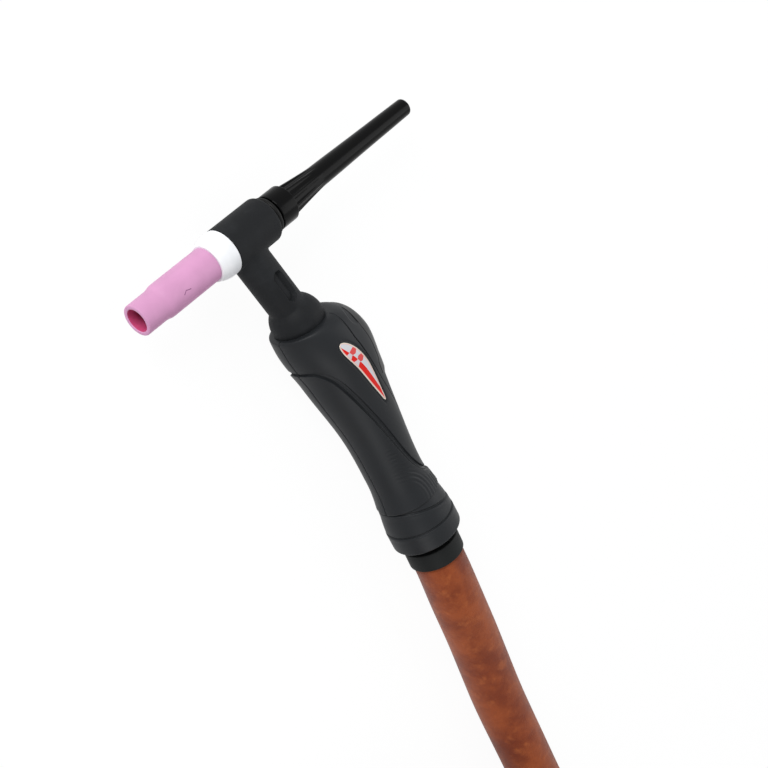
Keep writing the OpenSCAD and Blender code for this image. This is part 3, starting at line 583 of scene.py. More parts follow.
def smooth_path(points, step):
    """A Catmull-Rom curve through points, cut at even steps of arc length."""
    p = np.asarray(points, float)
    p = np.vstack([2 * p[0] - p[1], p, 2 * p[-1] - p[-2]])
    t = np.linspace(0, 1, 24, endpoint=False)[:, None]
    out = []
    for a, b, c, d in zip(p[:-3], p[1:-2], p[2:-1], p[3:]):
        bend, twist = 2 * a - 5 * b + 4 * c - d, 3 * b - a - 3 * c + d
        out.append(0.5 * (2 * b + (c - a) * t + bend * t ** 2 + twist * t ** 3))
    fine = np.vstack(out + [p[-2:-1]])
    run = run_lengths(fine)
    at = np.linspace(0, run[-1], int(run[-1] / step) + 1)
    return np.stack([np.interp(at, run, fine[:, k]) for k in range(3)], -1)


def carried(path, radius, sides):
    """A round section carried along a path: p + r (cos a side + sin a up), with side level."""
    t = unit_ways(path)
    side = np.cross(UP, t)
    side /= np.linalg.norm(side, axis=1)[:, None]
    up = np.cross(t, side)
    a = np.arange(sides) * TAU / sides
    around = np.cos(a)[None, :, None] * side[:, None] + np.sin(a)[None, :, None] * up[:, None]
    return (path[:, None] + radius[..., None] * around) * MM


class TORCH_OT_cable(bpy.types.Operator):
    """The leather covered cable: free stretch, coil and tail in one piece"""
    bl_idname = "torch.cable"
    bl_label = "Cable"

    def execute(self, context):
        step, sides = 2.4, 40
        turns = coil_point(np.linspace(0, COIL_TURNS, 217))
        path = smooth_path(np.vstack([FREE_ROUTE, turns[1:-1], TAIL_ROUTE]), step)
        run = np.arange(len(path))[:, None] * step
        a = np.arange(sides)[None, :] * TAU / sides
        soft = np.sin(run / 23 + 1.3 * np.sin(a)) * np.cos(2 * a + run / 57) + 0.6 * np.sin(run / 11 + 3 * a)
        thick = CABLE_R - 0.1 + 0.4 * ease(run / 40) - 0.6 * ease((run - 190) / 40)
        r = thick + 0.14 * soft * ease(run / 20) * ease((run[-1] - run) / 20)
        skin = carried(path, r, sides)
        rows = [skin[:1] * 0 + path[0] * MM, skin, skin[:1] * 0 + path[-1] * MM]
        cable = Sheets().add(np.concatenate(rows)).piece(
            "cable_cover", "cable", "cable_leather", [suede(settings()).mat], ("cable_free", "cable_coil", "cable_tail"))
        return {"FINISHED"}


class TORCH_OT_strap(bpy.types.Operator):
    """The woven strap round the turns of the coil"""
    bl_idname = "torch.strap"
    bl_label = "Coil strap"

    def execute(self, context):
        low, high = FLOOR_Z + 0.6, FLOOR_Z + 2 * CABLE_R + COIL_RISE + 1.0
        inner, outer = COIL_R - 1.75 * COIL_PITCH - 13.6, COIL_R - 0.75 * COIL_PITCH + 13.6
        middle = -(inner + outer) / 2
        box = fillet([(middle, low), (-outer, low), (-outer, high), (-inner, high), (-inner, low), (middle, low)],
                     9.0, 14)
        way = unit_ways(box)
        out = np.stack([way[:, 1], -way[:, 0]], -1)
        half, thick = 9.8, 0.55
        wide = fillet([(-half, -thick), (half, -thick), (half, thick), (-half, thick), (-half, -thick)], 0.4, 5)
        rows = box[:, None, :] + out[:, None, :] * wide[None, :, 1:2]
        x = np.broadcast_to(COIL_AT[0] + wide[:, 0], rows.shape[:2])
        grid = np.stack([x, COIL_AT[1] + rows[..., 0], rows[..., 1]], -1) * MM
        uv = np.stack(np.broadcast_arrays(run_lengths(box)[:, None] / 200, (wide[:, 0] + 10)[None, :] / 20), -1)
        Sheets().add(grid, around=False, uv=uv).piece(
            "coil_strap", "cable", "strap_black", [webbing().mat], ("coil_tie",), weld=2e-5)
        return {"FINISHED"}


class TORCH_OT_boot(bpy.types.Operator):
    """Rubber boot of the plug with four grip grooves: a profile turned round the cable's end"""
    bl_idname = "torch.boot"
    bl_label = "Plug boot"

    def execute(self, context):
        back, fit_r, body_r, bore_r = -14, 13.15, 14.4, 9.0
        outer = fillet([(back, fit_r), (back, 13.9), (6, body_r), (BOOT_LEN - 0.6, body_r), (BOOT_LEN, 13.7),
                        (BOOT_LEN, bore_r)], [0, 0.5, 4.0, 0.5, 0.3, 0], 8)
        s = np.unique(np.concatenate([outer[:, 0], np.linspace(-13.4, BOOT_LEN - 0.7, 160)]))
        r = np.interp(s, outer[:-2, 0], outer[:-2, 1])
        for groove in range(4):
            r = r - 0.7 * np.exp(-((s - 10 - 5.5 * groove) / 0.9) ** 4)
        profile = np.vstack([[(back, fit_r)], np.stack([s, r], -1), [(BOOT_LEN, bore_r), (0.2, bore_r), (0.2, fit_r),
                                                                     (back, fit_r)]])
        end = np.array([PLUG_X, BOOT_AT, PLUG_Z])
        skin = rubber("boot_rubber", (0.009, 0.009, 0.01), 0.6, 0.8)
        Sheets().add(turned(profile, end, -Y_AXIS, X_AXIS, 96)).piece(
            "boot_skin", "cable", "boot_rubber", [skin.mat], ("plug_boot",))
        return {"FINISHED"}


# ---------- cup and insulator

DIGIT_AT = (38.9, 88.0)   # place along the cup in millimetres and angle from +Y towards +Z in degrees


class TORCH_OT_cup(bpy.types.Operator):
    """Gas cup with its bevelled lip, its bore and its size digit"""
    bl_idname = "torch.cup"
    bl_label = "Gas cup"

    def execute(self, context):
        p = settings()
        rear, front, wide_r, bore_r = 18.8, 62.4, 8.3, 5.55
        outer = fillet([(rear, 7.6), (rear, wide_r), (47.8, wide_r), (50.3, 7.56), (front, 7.53), (front, bore_r),
                        (34.8, bore_r)], [0, 0.5, 1.1, 1.3, 0.75, 0.55, 0], 8)
        inner = fillet([(34.8, bore_r), (33.3, 6.48), (rear, 6.48), (rear, 7.6)], 0.1, 3)
        profile = np.vstack([outer, inner[1:]])
        fine = [profile[0]]
        for a, b in zip(profile[:-1], profile[1:]):
            n = max(1, int(np.linalg.norm(b - a) / 1.5))
            fine.extend(a + (b - a) * k / n for k in range(1, n + 1))
        profile = np.array(fine)
        # faces of the bore, which take the painted-shade bore material
        inside = (profile[:-1, 1] + profile[1:, 1]) / 2 < bore_r + 0.07
        inside |= np.arange(len(inside)) > np.argmax(inside)
        body = Sheets().add(turned(profile, ORIGIN, X_AXIS, Y_AXIS, 128), slot=inside[:, None].astype(int))
        body.piece("cup_body", "handle", "cup_ceramic", [alumina(p).mat, bore_painted_shade(p).mat], ("gas_cup",))

        ink = Finish("size_ink", (0.12, 0.02, 0.1), 0.6)
        ink.set(rough=ink.noise(ink.place(), 900) * 0.2 + 0.5)
        marks = Sheets()
        for path in ([(-2.15, -0.6), (-0.43, 0.65), (-0.3, 0.62)], [(-0.43, 0.65), (0.9, 0.18), (2.16, -0.12)]):
            line = smooth_path(np.c_[path, np.zeros(len(path))], 0.08)[:, :2]
            way = unit_ways(line)
            off = np.stack([-way[:, 1], way[:, 0]], -1)
            t = np.array([-1.0, -0.6, 0.6, 1.0])
            half_stroke, proud, tuck = 0.2, 0.02, 0.05
            pts = line[:, None] + half_stroke * t[None, :, None] * off[:, None]
            x = DIGIT_AT[0] - pts[..., 0]
            w = math.radians(DIGIT_AT[1]) + pts[..., 1] / wide_r
            r = wide_r + proud - tuck * (np.abs(t) > 0.8)
            marks.add(np.stack([x, r * np.cos(w), r * np.sin(w)], -1) * MM, around=False, turn=False)
        marks.piece("size_digit", "handle", "cup_ceramic", [ink.mat])
        return {"FINISHED"}


class TORCH_OT_insulator(bpy.types.Operator):
    """White ring between cup and head"""
    bl_idname = "torch.insulator"
    bl_label = "Insulator"

    def execute(self, context):
        t = np.linspace(0, 1, 24)
        rear, end, bore_r = 8.65, 18.75, 5.2
        wall = np.stack([9.0 + 9.2 * t, 10.85 - 1.55 * t ** 2.2 + 0.3 * np.sin(math.pi * t)], -1)
        front = fillet([wall[-1], (end, 9.15), (end, 8.6), (end, bore_r)], [0, 0.4, 0.2, 0], 6)
        profile = np.vstack([[(rear, bore_r), (rear, 10.5)], wall, front[1:], [(rear, bore_r)]])
        Sheets().add(turned(profile, ORIGIN, X_AXIS, Y_AXIS, 128)).piece(
            "insulator_body", "handle", "insulator_white", [ring_plastic().mat], ("insulator_ring",))
        return {"FINISHED"}


# ---------- head, neck and cap

class TORCH_OT_head(bpy.types.Operator):
    """Rubber head and neck with the slot and the round collar"""
    bl_idname = "torch.head"
    bl_label = "Head and neck"

    def collar(self, neck_r):
        """Places along the neck and its radius there: a ball round the collar's middle, its corners blended."""
        ball_r, ball_at, end, end_r = 12.95, 49.4, 57.5, 8.6
        q = np.linspace(-4, 64, 2400)
        r = np.maximum(neck_r, np.sqrt(np.clip(ball_r ** 2 - (q - ball_at) ** 2, 0, None)))
        r = np.where(q > end, np.minimum(r, end_r), r)
        kernel = np.hanning(45)
        return q, np.convolve(np.pad(r, 22, mode="edge"), kernel / kernel.sum(), mode="valid")

    def execute(self, context):
        front, rear, bore_r, head_r, sides = 8.62, -18.5, 5.2, 11.0, 240
        head = fillet([(front, bore_r), (front, head_r), (rear, head_r), (rear, 6.75), (-16, 6.75)],
                      [0, 0.5, 4.2, 0.3, 0], 14)
        body = np.vstack([head, [(-16, bore_r), (front, bore_r)]])
        parts = Sheets().add(turned(body, ORIGIN, X_AXIS, Y_AXIS, 160))

        a = np.arange(sides) * TAU / sides
        neck_r, flare, neck_end = 8.85, 0.8, 60.0

        def landing(rho):
            """Distance along the neck at which a line beside its axis leaves the head's cylinder."""
            return (np.sqrt(head_r ** 2 - (rho * np.sin(a)) ** 2) - rho * np.cos(a) * NECK_SIDE[1]) / NECK_DIR[1]

        foot, corner = landing(neck_r + flare), landing(neck_r)
        t = np.linspace(0, 1, 14)[:, None]
        first, middle, last = (1 - t) ** 2, 2 * t * (1 - t), t ** 2
        s = first * foot + middle * corner + last * (corner + flare + 0.6)
        r = np.broadcast_to(first * (neck_r + flare) + (middle + last) * neck_r, s.shape)
        s, r = np.vstack([foot[None] - 1.5, s]), np.vstack([np.full((1, sides), neck_r + flare - 0.9), r])
        run = np.linspace(0, 1, 110)[1:, None]
        s2 = s[-1] * (1 - run) + neck_end * run
        r2 = np.interp(s2, *self.collar(neck_r))
        slot_at, slot_angle, slot_half_len, slot_half_width, slot_depth = 28.2, 96.0, 5.2, 3.1, 2.3
        across = (np.degrees(a) - slot_angle)[None] * math.pi / 180 * neck_r
        away = np.hypot(np.maximum(np.abs(s2 - slot_at) - slot_half_len, 0), across) - slot_half_width
        r2 = r2 - slot_depth * ease(-away / 0.4)
        s, r = np.vstack([s, s2]), np.vstack([r, r2])
        ring = np.cos(a)[None, :, None] * NECK_SIDE + np.sin(a)[None, :, None] * UP
        pts = s[..., None] * NECK_DIR + r[..., None] * ring
        lid = [np.broadcast_to(k * NECK_DIR, pts[:1].shape) for k in (float(s[0].mean()), neck_end)]
        parts.add(np.concatenate([lid[0], pts, lid[1]]) * MM)
        skin = rubber("head_rubber", tuple(settings().head_color))
        parts.piece("head_rubber", "handle", "head_rubber", [skin.mat], ("head_cover",))
        return {"FINISHED"}


class TORCH_OT_cap(bpy.types.Operator):
    """Long back cap with its grip ring and fading fins"""
    bl_idname = "torch.cap"
    bl_label = "Back cap"

    def execute(self, context):
        start, fins, end, sides, count = 18.8, 31.8, 118.8, 240, 10
        ring = fillet([(start, 5.0), (start, 6.7), (22.2, 6.7), (22.2, 8.8), (fins, 8.8), (fins, 7.75)],
                      [0, 0.3, 0.1, 0.5, 0.6, 0], 7)
        tail = np.concatenate([np.linspace(32.0, 56, 70), np.linspace(56.8, 117.7, 50)])
        tube = np.interp(tail, [54.7, 60, 66.8, 73.5, 84, 94, 105, 115, 119.3],
                         [5.42, 5.34, 5.22, 5.07, 4.85, 4.68, 4.52, 4.34, 4.27])
        t = np.clip((tail - fins) / 22.9, 0, 1)
        root = tube + 1.35 * (1 - t) ** 1.5
        fin = tube + 2.3 * (1 - t) ** 1.15
        a = np.arange(sides) * TAU / sides
        near = np.abs(np.mod(a / TAU * count + 0.5, 1) - 0.5) * TAU / count * 7.2
        rib = 1 - ease((near - 0.35) / 1.1)
        body = root[:, None] + (fin - root)[:, None] * rib[None]
        w = np.linspace(0.15, math.pi / 2, 8)
        tip = np.stack([117.7 + 1.1 * np.sin(w), 4.28 - 1.4 * (1 - np.cos(w))], -1)
        s = np.concatenate([ring[:, 0], tail, tip[:, 0], [end]])
        r = np.vstack([np.repeat(ring[:, 1:], sides, 1), body, np.repeat(tip[:, 1:], sides, 1), np.zeros((1, sides))])
        grid = np.stack([np.broadcast_to(-s[:, None], r.shape), r * np.cos(a), r * np.sin(a)], -1) * MM
        Sheets().add(np.concatenate([grid[:1] * X_AXIS, grid])).piece(
            "cap_body", "back_cap", "cap_black", [cap_plastic().mat], ("back_cap",), crease=50)
        seal_at, seal_mid_r, seal_r = 20.2, 8.05, 1.25
        w = np.linspace(0, TAU, 25)[:-1]
        seal = np.stack([seal_at + seal_r * np.sin(w), seal_mid_r + seal_r * np.cos(w)], -1)
        grid = turned(np.vstack([seal, seal[:1]]), ORIGIN, -X_AXIS, Y_AXIS, 96)
        dark = rubber("seal_rubber", (0.006, 0.006, 0.006), 0.5, 0.3)
        Sheets().add(grid).piece("seal_ring", "seal", "seal_rubber", [dark.mat], ("cap_seal",))
        return {"FINISHED"}


# ---------- grip

# Offsets of the spine's seam and of the trigger's edge from the grip's axis, by distance from the mouth
SEAM = np.array([(-6, -1.2), (13, -1.3), (42, -6.9), (65, -12.5), (76, -15)], float)
TRIGGER = np.array([(3, -9.6), (13, -9.4), (22, -10.4), (32, -10.4), (34, -9), (40, -9), (43, -14)], float)
SEAM_END, SEAM_R = 76.0, 17.0
CHANNEL_LEAST, CHANNEL_END = 1.3, 1.2   # least width in millimetres, and the last share that counts as channel
TRIGGER_FROM, TRIGGER_TO = 3.0, 43.0
ROLL_STEPS = 5
LIP_DROP, LIP_LEN = 0.55, 0.7
STICKER_Y, STICKER_A = (11.0, 50.6), (76.5, 99.5)   # front and rear end: distance from the mouth and angle
STICKER_LEAN, STICKER_BLUNT, STICKER_UV_WIDTH = 0.35, 0.24, 8.0


def skin_r(angle, y, w):
    """Radius of the grip's skin. w says how far a point is behind the swept channel's front line, in channel widths."""
    a, y = fold(angle), np.asarray(y, float)
    wide = ease((a - 12) / 40)
    rise = ease((w - 0.8) / 0.22)
    channel = 1.0 * (0.25 + 0.75 * wide) * (ease(w / 0.16) - rise)
    channel = channel - 0.22 * wide * np.exp(-((w - 0.55) / 0.16) ** 2)
    rho = np.hypot(a * math.pi / 180 * 15 - 12, y - 103)
    patch = ease((rho - 9) / 5) * ease((34 - rho) / 8) * ease((w - 1.25) / 0.5) * ease((a - 42) / 25)
    ripple = 0.13 * np.sin(rho * TAU / 2.1) * patch
    return handle_r(y) - channel + 0.75 * rise + ripple


def grip_rows():
    """Rows of the shells as (zone, share): in front of the channel, across it, and behind it."""
    front = np.concatenate([np.linspace(0, 0.08, 9), np.linspace(0.1, 0.97, 76), np.linspace(0.975, 1, 6)])
    across = np.linspace(0.02, CHANNEL_END, 40)
    behind = np.concatenate([np.linspace(0.01, 0.95, 110), np.linspace(0.955, 1, 8)])
    return [(zone, k) for zone, shares in enumerate((front, across, behind)) for k in shares]


def row_at(row, angle):
    """Distance from the mouth and channel share of a row at an angle."""
    a = fold(angle)
    up, low = swept(a, 76, 4.6), swept(a, 65, 4.2) + CHANNEL_LEAST
    low = np.maximum(np.minimum(low, SHELL_LEN - 1.3), up + CHANNEL_LEAST)
    zone, k = row
    if zone == 0:
        return up * k, np.zeros_like(a)
    if zone == 1:
        return up + (low - up) * k, np.full_like(a, k)
    start = up + (low - up) * CHANNEL_END
    y = start + (SHELL_LEN - start) * k
    return y, np.maximum(CHANNEL_END, (y - up) / (low - up))


def seam_angle(y, table):
    """Angle at which a line given as offsets from the axis meets the skin."""
    x = np.interp(y, table[:, 0], table[:, 1])
    return np.degrees(np.arccos(np.clip((x - handle_shift(y)) / handle_r(y), -1, 1)))


def seam_on_row(row):
    """Angle of the spine's seam on a row, found by halving the step towards it."""
    a = np.array([100.0])
    for _ in range(40):
        y, _w = row_at(row, a)
        goal = np.where(y > SEAM_END, 180.0, seam_angle(y, SEAM))
        a = (a + goal) / 2
    return float(a[0])


def rolled(count, roll):
    """Shares along an arc whose edges roll in over roll of it, and the edge's drop, both from 0 to 1."""
    t = np.linspace(0, math.pi / 2, ROLL_STEPS)
    share = np.concatenate([roll * (1 - np.sin(t[::-1])), np.linspace(roll, 1 - roll, count),
                            1 - roll * (1 - np.sin(t))])
    drop = np.concatenate([1 - np.cos(t[::-1]), np.zeros(count), 1 - np.cos(t)])
    return share, drop


def sticker_half(t):
    """Half width of the leaf sticker at share t of its length: blunt in front, long taper to a small round tip."""
    nose = 1 - ((STICKER_BLUNT - np.minimum(t, STICKER_BLUNT)) / STICKER_BLUNT) ** 2.4
    taper = 1 - 0.86 * np.clip((t - STICKER_BLUNT) / (1 - STICKER_BLUNT), 0, 1) ** 1.6
    return 3.5 * np.sqrt(np.clip(nose, 0, 1)) * taper * np.sqrt(np.clip((1 - t) / 0.03, 0, 1))


def sticker_place(t, off):
    """Angle and distance from the mouth of a point of the sticker, t along it and off across it in millimetres."""
    y = STICKER_Y[0] + (STICKER_Y[1] - STICKER_Y[0]) * t
    a = STICKER_A[0] + (STICKER_A[1] - STICKER_A[0]) * t ** 0.85
    y = y - off * STICKER_LEAN
    return a + off * math.sqrt(1 - STICKER_LEAN ** 2) / (handle_r(y) * math.pi / 180), y


def sticker_coords(angle, y, spare, rounds, knots):
    """The reverse of sticker_place, by repeated guesses: share, held to spare past the ends, and offset."""
    t = np.linspace(0, 1, knots)
    mid, _ = sticker_place(t, 0.0)
    off = 0.0
    for k in range(rounds + 1):
        share = np.clip((y + off * STICKER_LEAN - STICKER_Y[0]) / (STICKER_Y[1] - STICKER_Y[0]), -spare, 1 + spare)
        if k < rounds:
            off = (angle - np.interp(share, t, mid)) * handle_r(y) * math.pi / 180 / math.sqrt(1 - STICKER_LEAN ** 2)
    return share, off


def sticker_recess(angle, y):
    """Depth of the thin groove round the sticker."""
    share, off = sticker_coords(angle, y, 0.2, 3, 60)
    half = sticker_half(np.clip(share, 0.0, 0.985)) * (share > -0.05)
    beyond = np.maximum(np.maximum(-share, share - 1), 0) * 40
    gap = np.hypot(np.maximum(np.abs(off) - half, 0), beyond)
    return 0.42 * np.exp(-((gap - 0.75) / 0.38) ** 2) * (share > -0.15) * (share < 1.1)


def shell_grid(side):
    """One shell: rows carried from the parting line to the spine's seam or the back, with an inner wall."""
    half_gap = math.degrees(settings().seam / MM / 2 / SEAM_R)
    share, drop = rolled(150, 0.008)
    lines = []
    for row in grip_rows():
        end = min(180 - half_gap, seam_on_row(row) - half_gap)
        angle = half_gap + (end - half_gap) * share
        y, w = row_at(row, angle)
        r = skin_r(angle, y, w) - 0.5 * drop
        if side > 0:
            r = r - sticker_recess(angle, y)
        lines.append((angle, y, r))
    angle, y, r = (np.array([l[k] for l in lines]) for k in range(3))
    r = r - LIP_DROP * rounding(np.abs(y) / LIP_LEN) - 0.35 * rounding((SHELL_LEN - y) / 0.35)
    return closed_wall(on_grip(r, angle, y, side), on_grip(r - 1.6, angle, y, side))


class TORCH_OT_grip(bpy.types.Operator):
    """Both shells of the grip, with the swept channel, the grip's ripples and the rolled seams"""
    bl_idname = "torch.grip"
    bl_label = "Grip shells"

    def execute(self, context):
        mat = grip_plastic("shell_satin", tuple(settings().grip_color), 0.46).mat
        for side, name, node in ((1, "grip_upper", "shell_upper"), (-1, "grip_lower", "shell_lower")):
            Sheets().add(shell_grid(side)).piece(name, "handle", "shell_grey", [mat], (node,), crease=60)
        return {"FINISHED"}


class TORCH_OT_spine(bpy.types.Operator):
    """Back spine of the grip with the trigger's pocket, and the trigger"""
    bl_idname = "torch.spine"
    bl_label = "Spine and trigger"

    def spine(self):
        """The moulding between the seams: a pocket for the trigger, and dished sides near the pocket's front."""
        near, far, depth, floor_count = 2.8, 43.2, 3.0, 30
        ys = np.unique(np.concatenate([np.linspace(0, 0.8, 8), np.linspace(0.8, 2.7, 8), np.linspace(2.71, near, 2),
                                       np.linspace(near, far, 150), np.linspace(43.21, 43.3, 2),
                                       np.linspace(43.3, SEAM_END - 0.1, 90)]))
        share, drop = rolled(60, 0.012)
        count = len(share) - ROLL_STEPS
        share, drop = share[:count] / share[count - 1], drop[:count]
        half_gap = math.degrees(settings().seam / MM / 2 / SEAM_R)
        lines = []
        for y in ys:
            pocket = near - 0.05 < y < far + 0.05
            start = float(seam_angle(y, SEAM)) + half_gap
            edge = float(seam_angle(y, TRIGGER)) if pocket else (start + 180) / 2
            flank = start + (min(edge, 179.0) - start) * share
            dish = 0.3 * ease((5.6 - np.hypot(y - 6.2, (flank - edge) * 0.33)) / 1.5) * pocket
            r = float(handle_r(y))
            lines.append((np.concatenate([flank, np.linspace(edge, 180, floor_count)]), np.full(count + floor_count, y),
                          np.concatenate([r - 0.45 * drop - dish, np.full(floor_count, r - depth * pocket)])))
        angle, y, r = (np.array([l[k] for l in lines]) for k in range(3))
        r = r - LIP_DROP * rounding(y / LIP_LEN)
        angle = np.concatenate([angle, 360 - angle[:, ::-1][:, 1:]], axis=1)
        y, r = (np.concatenate([m, m[:, ::-1][:, 1:]], axis=1) for m in (y, r))
        inner_r = np.minimum(r - 0.8, handle_r(y) - depth - 0.8)
        Sheets().add(closed_wall(on_grip(r, angle, y), on_grip(inner_r, angle, y))).piece(
            "grip_spine", "handle", "spine_grey", [grip_plastic("spine_satin", tuple(settings().grip_color), 0.48).mat],
            ("back_spine",), crease=60)

    def trigger(self):
        """The rocker: a face that humps over its front half, with its edges rolled in, and an inner wall."""
        near, far, round_len = TRIGGER_FROM, TRIGGER_TO, 0.9
        turn_in = round_len * (1 - np.cos(np.linspace(0, math.pi / 2, 7)))
        ys = np.concatenate([near + turn_in, np.linspace(4.1, 42.0, 90), far - turn_in[::-1]])
        share, drop = rolled(90, 0.012)
        end = round_len * rounding(np.minimum(ys - near, far - ys) / round_len)
        a0 = seam_angle(ys, TRIGGER)[:, None]
        angle = a0 + (360 - 2 * a0) * share[None]
        hump = 0.7 * np.sin(math.pi * np.clip((ys - near) / 24, 0, 1) ** 0.7) + 0.2 + 0.35 * ease((ys - 30) / 9)
        inside = ease(np.minimum(angle - a0, 360 - a0 - angle) / 25)
        r = handle_r(ys)[:, None] - 0.6 * drop[None] - end[:, None] + 0.15 + hump[:, None] * inside
        y = np.broadcast_to(ys[:, None], angle.shape)
        smooth = grip_plastic("trigger_smooth", (0.006, 0.0065, 0.007), 0.36, 0.01)
        Sheets().add(closed_wall(on_grip(r, angle, y), on_grip(r - 1.9, angle, y))).piece(
            "trigger_face", "trigger", "trigger_black", [smooth.mat], ("trigger",), crease=60)

    def execute(self, context):
        self.spine()
        self.trigger()
        return {"FINISHED"}


class TORCH_OT_sticker(bpy.types.Operator):
    """Leaf sticker with a bare red and white design"""
    bl_idname = "torch.sticker"
    bl_label = "Sticker"

    def print_finish(self):
        """Two fields parted along the leaf, with a few bars that swap them, and a pale rim."""
        f = Finish("sticker_print", (0.8, 0.8, 0.8), 0.35, specular=0.25)
        u, v, _ = f.parts(f.place("UV"))
        off = (v - 0.5) * STICKER_UV_WIDTH
        red, pale, blush, cream = (0.72, 0.012, 0.006), (0.66, 0.66, 0.69), (0.8, 0.45, 0.42), (0.8, 0.74, 0.62)
        rim = f.node("ShaderNodeAttribute", {"attribute_name": "rim"}, output="Fac")
        lower = (off - (u - 0.45) * 2.6).between(-0.06, 0.06)
        tone = f.mix(lower, red, pale)
        bars = ((u * 46.0).sin() * 0.5 + (off * 1.6).sin() * 0.2).between(-0.05, 0.05) * (u > 0.14) * (u < 0.36)
        tone = f.mix(bars * 0.9, tone, f.mix(lower, pale, red))
        tone = f.mix(rim.between(0.5, 0.62), tone, blush)
        tone = f.mix(rim.between(0.72, 0.8), tone, cream)
        return f.set(color=tone, rough=f.noise(f.place(), 500) * 0.1 + 0.25)

    def execute(self, context):
        t = np.concatenate([np.linspace(0, 0.04, 10), np.linspace(0.05, 0.95, 120), np.linspace(0.955, 1, 14)])
        half = sticker_half(t)[:, None]
        off = half * np.sin(np.linspace(-math.pi / 2, math.pi / 2, 41))[None]
        along = np.broadcast_to(t[:, None], off.shape)
        a, y = sticker_place(along, off)
        edge = np.minimum(1.0, (half - np.abs(off)) / 0.12)
        face = on_grip(handle_r(y) + 0.02 + 0.1 * ease(edge), a, y)
        under = on_grip(handle_r(y) - 0.25, a, y)
        uv = np.stack([along, 0.5 + off / STICKER_UV_WIDTH], -1)
        wall, uvs = (np.concatenate([top, low[:, ::-1]], axis=1) for top, low in ((face, under), (uv, uv)))
        piece = Sheets().add(wall, uv=uvs).piece(
            "leaf_sticker", "handle", "shell_grey", [self.print_finish().mat], weld=5e-6)
        mesh = piece.data
        co = np.empty(len(mesh.vertices) * 3)
        mesh.vertices.foreach_get("co", co)
        local = co.reshape(-1, 3) / MM - MOUTH
        y = local @ HANDLE_DIR
        angle = np.degrees(np.arctan2(local @ UP, local @ SIDE_DIR - handle_shift(y)))
        share, off = sticker_coords(angle, y, 0.0, 4, 80)
        rim = 1 - np.clip((sticker_half(share) - np.abs(off)) / 1.6, 0, 1)
        mesh.attributes.new("rim", "FLOAT", "POINT").data.foreach_set("value", rim.astype(np.float32))
        return {"FINISHED"}


class TORCH_OT_collar(bpy.types.Operator):
    """Rear collar with its two grooves, the joint's ball and the sleeve"""
    bl_idname = "torch.collar"
    bl_label = "Collar, ball and sleeve"

    def execute(self, context):
        p = settings()
        wide, start, flat, sides = p.groove / MM, SHELL_LEN + 0.08, 129.0, 240
        a = np.arange(sides) * TAU / sides
        lip = fillet([(flat, 0.0), (HANDLE_LEN, 0.0), (HANDLE_LEN, -3.6), (130.8, -4.1)], [0, 2.0, 0.5, 0], 12)[1:]
        ys = np.concatenate([[start], np.linspace(107.6, flat, 150)])
        outer = np.repeat(handle_r(ys)[:, None], sides, 1)
        for middle, lean, full, spread in ((112.5, 5.0, 0.22, 1.3), (121.3, 0.5, 0.2, 1.2)):
            off = ys[:, None] - (middle - lean * np.cos(a))[None]
            outer = outer - 0.85 * np.exp(-(off / (wide * 0.42)) ** 4)
            outer = outer + 0.7 * full * np.exp(-((off - wide) / spread) ** 2)
        outer = outer - 0.35 * rounding((ys - start) / 0.4)[:, None]
        bore = np.array([(129.9, 13.0), (127.2, 13.2), (BALL_AT + 0.4, 13.45), (BALL_AT + 0.4, 13.7), (108.5, 13.7),
                         (start, 13.45)])
        r = np.vstack([outer, outer[-1] + lip[:, 1:], np.repeat(bore[:, 1:], sides, 1), outer[:1]])
        y = np.concatenate([ys, lip[:, 0], bore[:, 0], ys[:1]])
        grid = on_handle(r * np.cos(a), np.broadcast_to(y[:, None], r.shape), r * np.sin(a))
        satin = grip_plastic("collar_satin", tuple(p.grip_color), 0.44)
        Sheets().add(grid).piece("collar_body", "handle", "collar_grey", [satin.mat], ("rear_collar",), crease=55)

        ball_r, shank_r, shank_end, bore_r = 13.3, 8.4, 14.0, 6.1
        w = np.linspace(-0.91, 0.76, 40)
        ball = np.stack([ball_r * np.sin(w), ball_r * np.cos(w)], -1)
        shank = fillet([ball[-1], (9.4, shank_r), (shank_end, shank_r), (shank_end, bore_r)], [0, 0.5, 0.1, 0], 5)
        profile = np.vstack([ball, shank[1:], [(ball[0][0], bore_r), ball[0]]])
        Sheets().add(turned(profile, BALL, Y_AXIS, X_AXIS, 128)).piece(
            "ball_body", "cable", "ball_black", [gloss_black().mat], ("joint_ball",))
        near, far, out_r, in_r = 11.5, 21.0, 14.2, 13.1
        sleeve = fillet([(near, 8.5), (near, out_r), (far, out_r), (far, in_r), (14.2, in_r), (14.0, 8.5), (near, 8.5)],
                        [0, 0.8, 0.45, 0.1, 0.1, 0.1, 0], 6)
        matte = rubber("sleeve_matte", (0.0075, 0.0085, 0.0085), 0.6, 0.25, 0.02)
        Sheets().add(turned(sleeve, BALL, Y_AXIS, X_AXIS, 128)).piece(
            "sleeve_body", "cable", "sleeve_black", [matte.mat], ("cable_sleeve",))
        return {"FINISHED"}


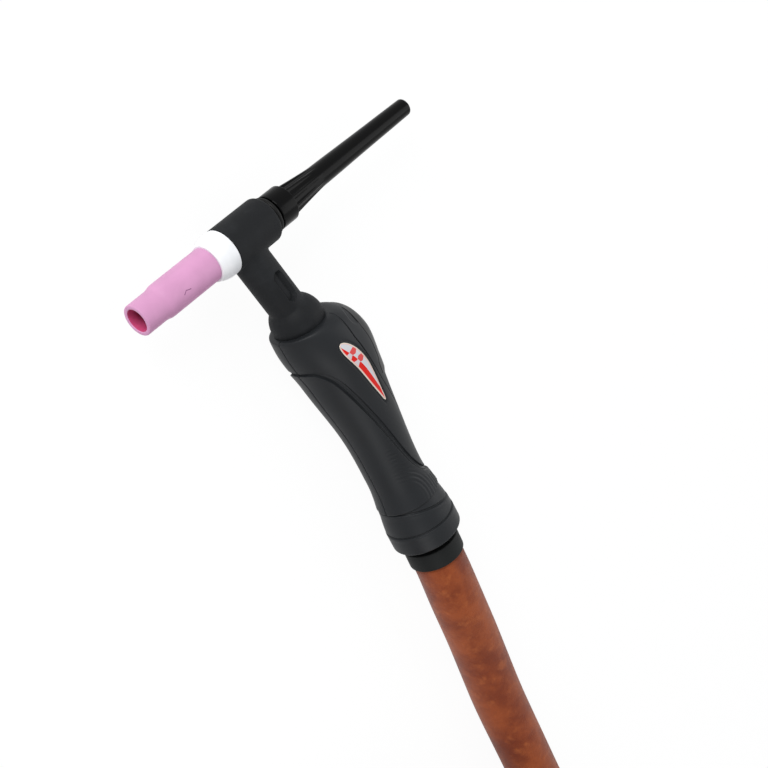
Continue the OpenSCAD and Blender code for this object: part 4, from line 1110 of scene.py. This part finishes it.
class TORCH_OT_inner(bpy.types.Operator):
    """Finishes of the parts that keep the solids' own shape: lens, collet, core, switch, screws and plug"""
    bl_idname = "torch.inner"
    bl_label = "Inner parts and plug"

    def execute(self, context):
        brass, copper = brushed("turned_brass", (0.72, 0.5, 0.2)), brushed("collet_copper", (0.7, 0.33, 0.18), 0.35)
        steel = brushed("plated_steel", (0.6, 0.6, 0.62), 0.25)
        finish = {
            "collet": copper,
            "microswitch": rubber("switch_case", (0.12, 0.01, 0.01), 0.4, 0.3),
            "switch_plunger": rubber("plunger_red", (0.5, 0.03, 0.02), 0.4, 0.2),
            "inner_lead": rubber("lead_jacket", (0.012, 0.012, 0.012), 0.5, 0.4),
            "cable_core": rubber("core_jacket", (0.012, 0.011, 0.011), 0.5, 0.4),
        }
        for metal, nodes in ((steel, "lens_screens shell_screws trigger_pin trigger_spring"),
                             (brass, "gas_lens_body head_core neck_tube cap_insert lead_coupling plug_body plug_pin"
                                     " gas_spigot")):
            finish.update(dict.fromkeys(nodes.split(), metal))
        for node, f in finish.items():
            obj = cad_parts[node]
            for k in range(max(1, len(obj.material_slots))):
                if not obj.material_slots:
                    obj.data.materials.append(f.mat)
                obj.material_slots[k].material = f.mat
        return {"FINISHED"}


# ---------- add-on

class TORCH_PT_panel(bpy.types.Panel):
    """Lists the torch's pieces and settings"""
    bl_idname = "TORCH_PT_panel"
    bl_label = "TIG torch"
    bl_space_type = "VIEW_3D"
    bl_region_type = "UI"
    bl_category = "Torch"

    def draw(self, context):
        for key in TorchSettings.__annotations__:
            self.layout.prop(context.scene.torch_settings, key)
        for op in OPERATORS:
            self.layout.operator(op.bl_idname)


OPERATORS = [TORCH_OT_stage, TORCH_OT_strap, TORCH_OT_boot, TORCH_OT_cable, TORCH_OT_cup, TORCH_OT_insulator,
             TORCH_OT_head, TORCH_OT_cap, TORCH_OT_grip, TORCH_OT_spine, TORCH_OT_sticker, TORCH_OT_collar,
             TORCH_OT_inner]


def register():
    for c in (TorchSettings, *OPERATORS, TORCH_PT_panel):
        bpy.utils.register_class(c)
    bpy.types.Scene.torch_settings = bpy.props.PointerProperty(type=TorchSettings)


def unregister():
    del bpy.types.Scene.torch_settings
    for c in (TORCH_PT_panel, *reversed(OPERATORS), TorchSettings):
        bpy.utils.unregister_class(c)


def main():
    register()
    for op in OPERATORS:
        group, name = op.bl_idname.split(".")
        getattr(getattr(bpy.ops, group), name)()


if __name__ == "__main__":
    main()
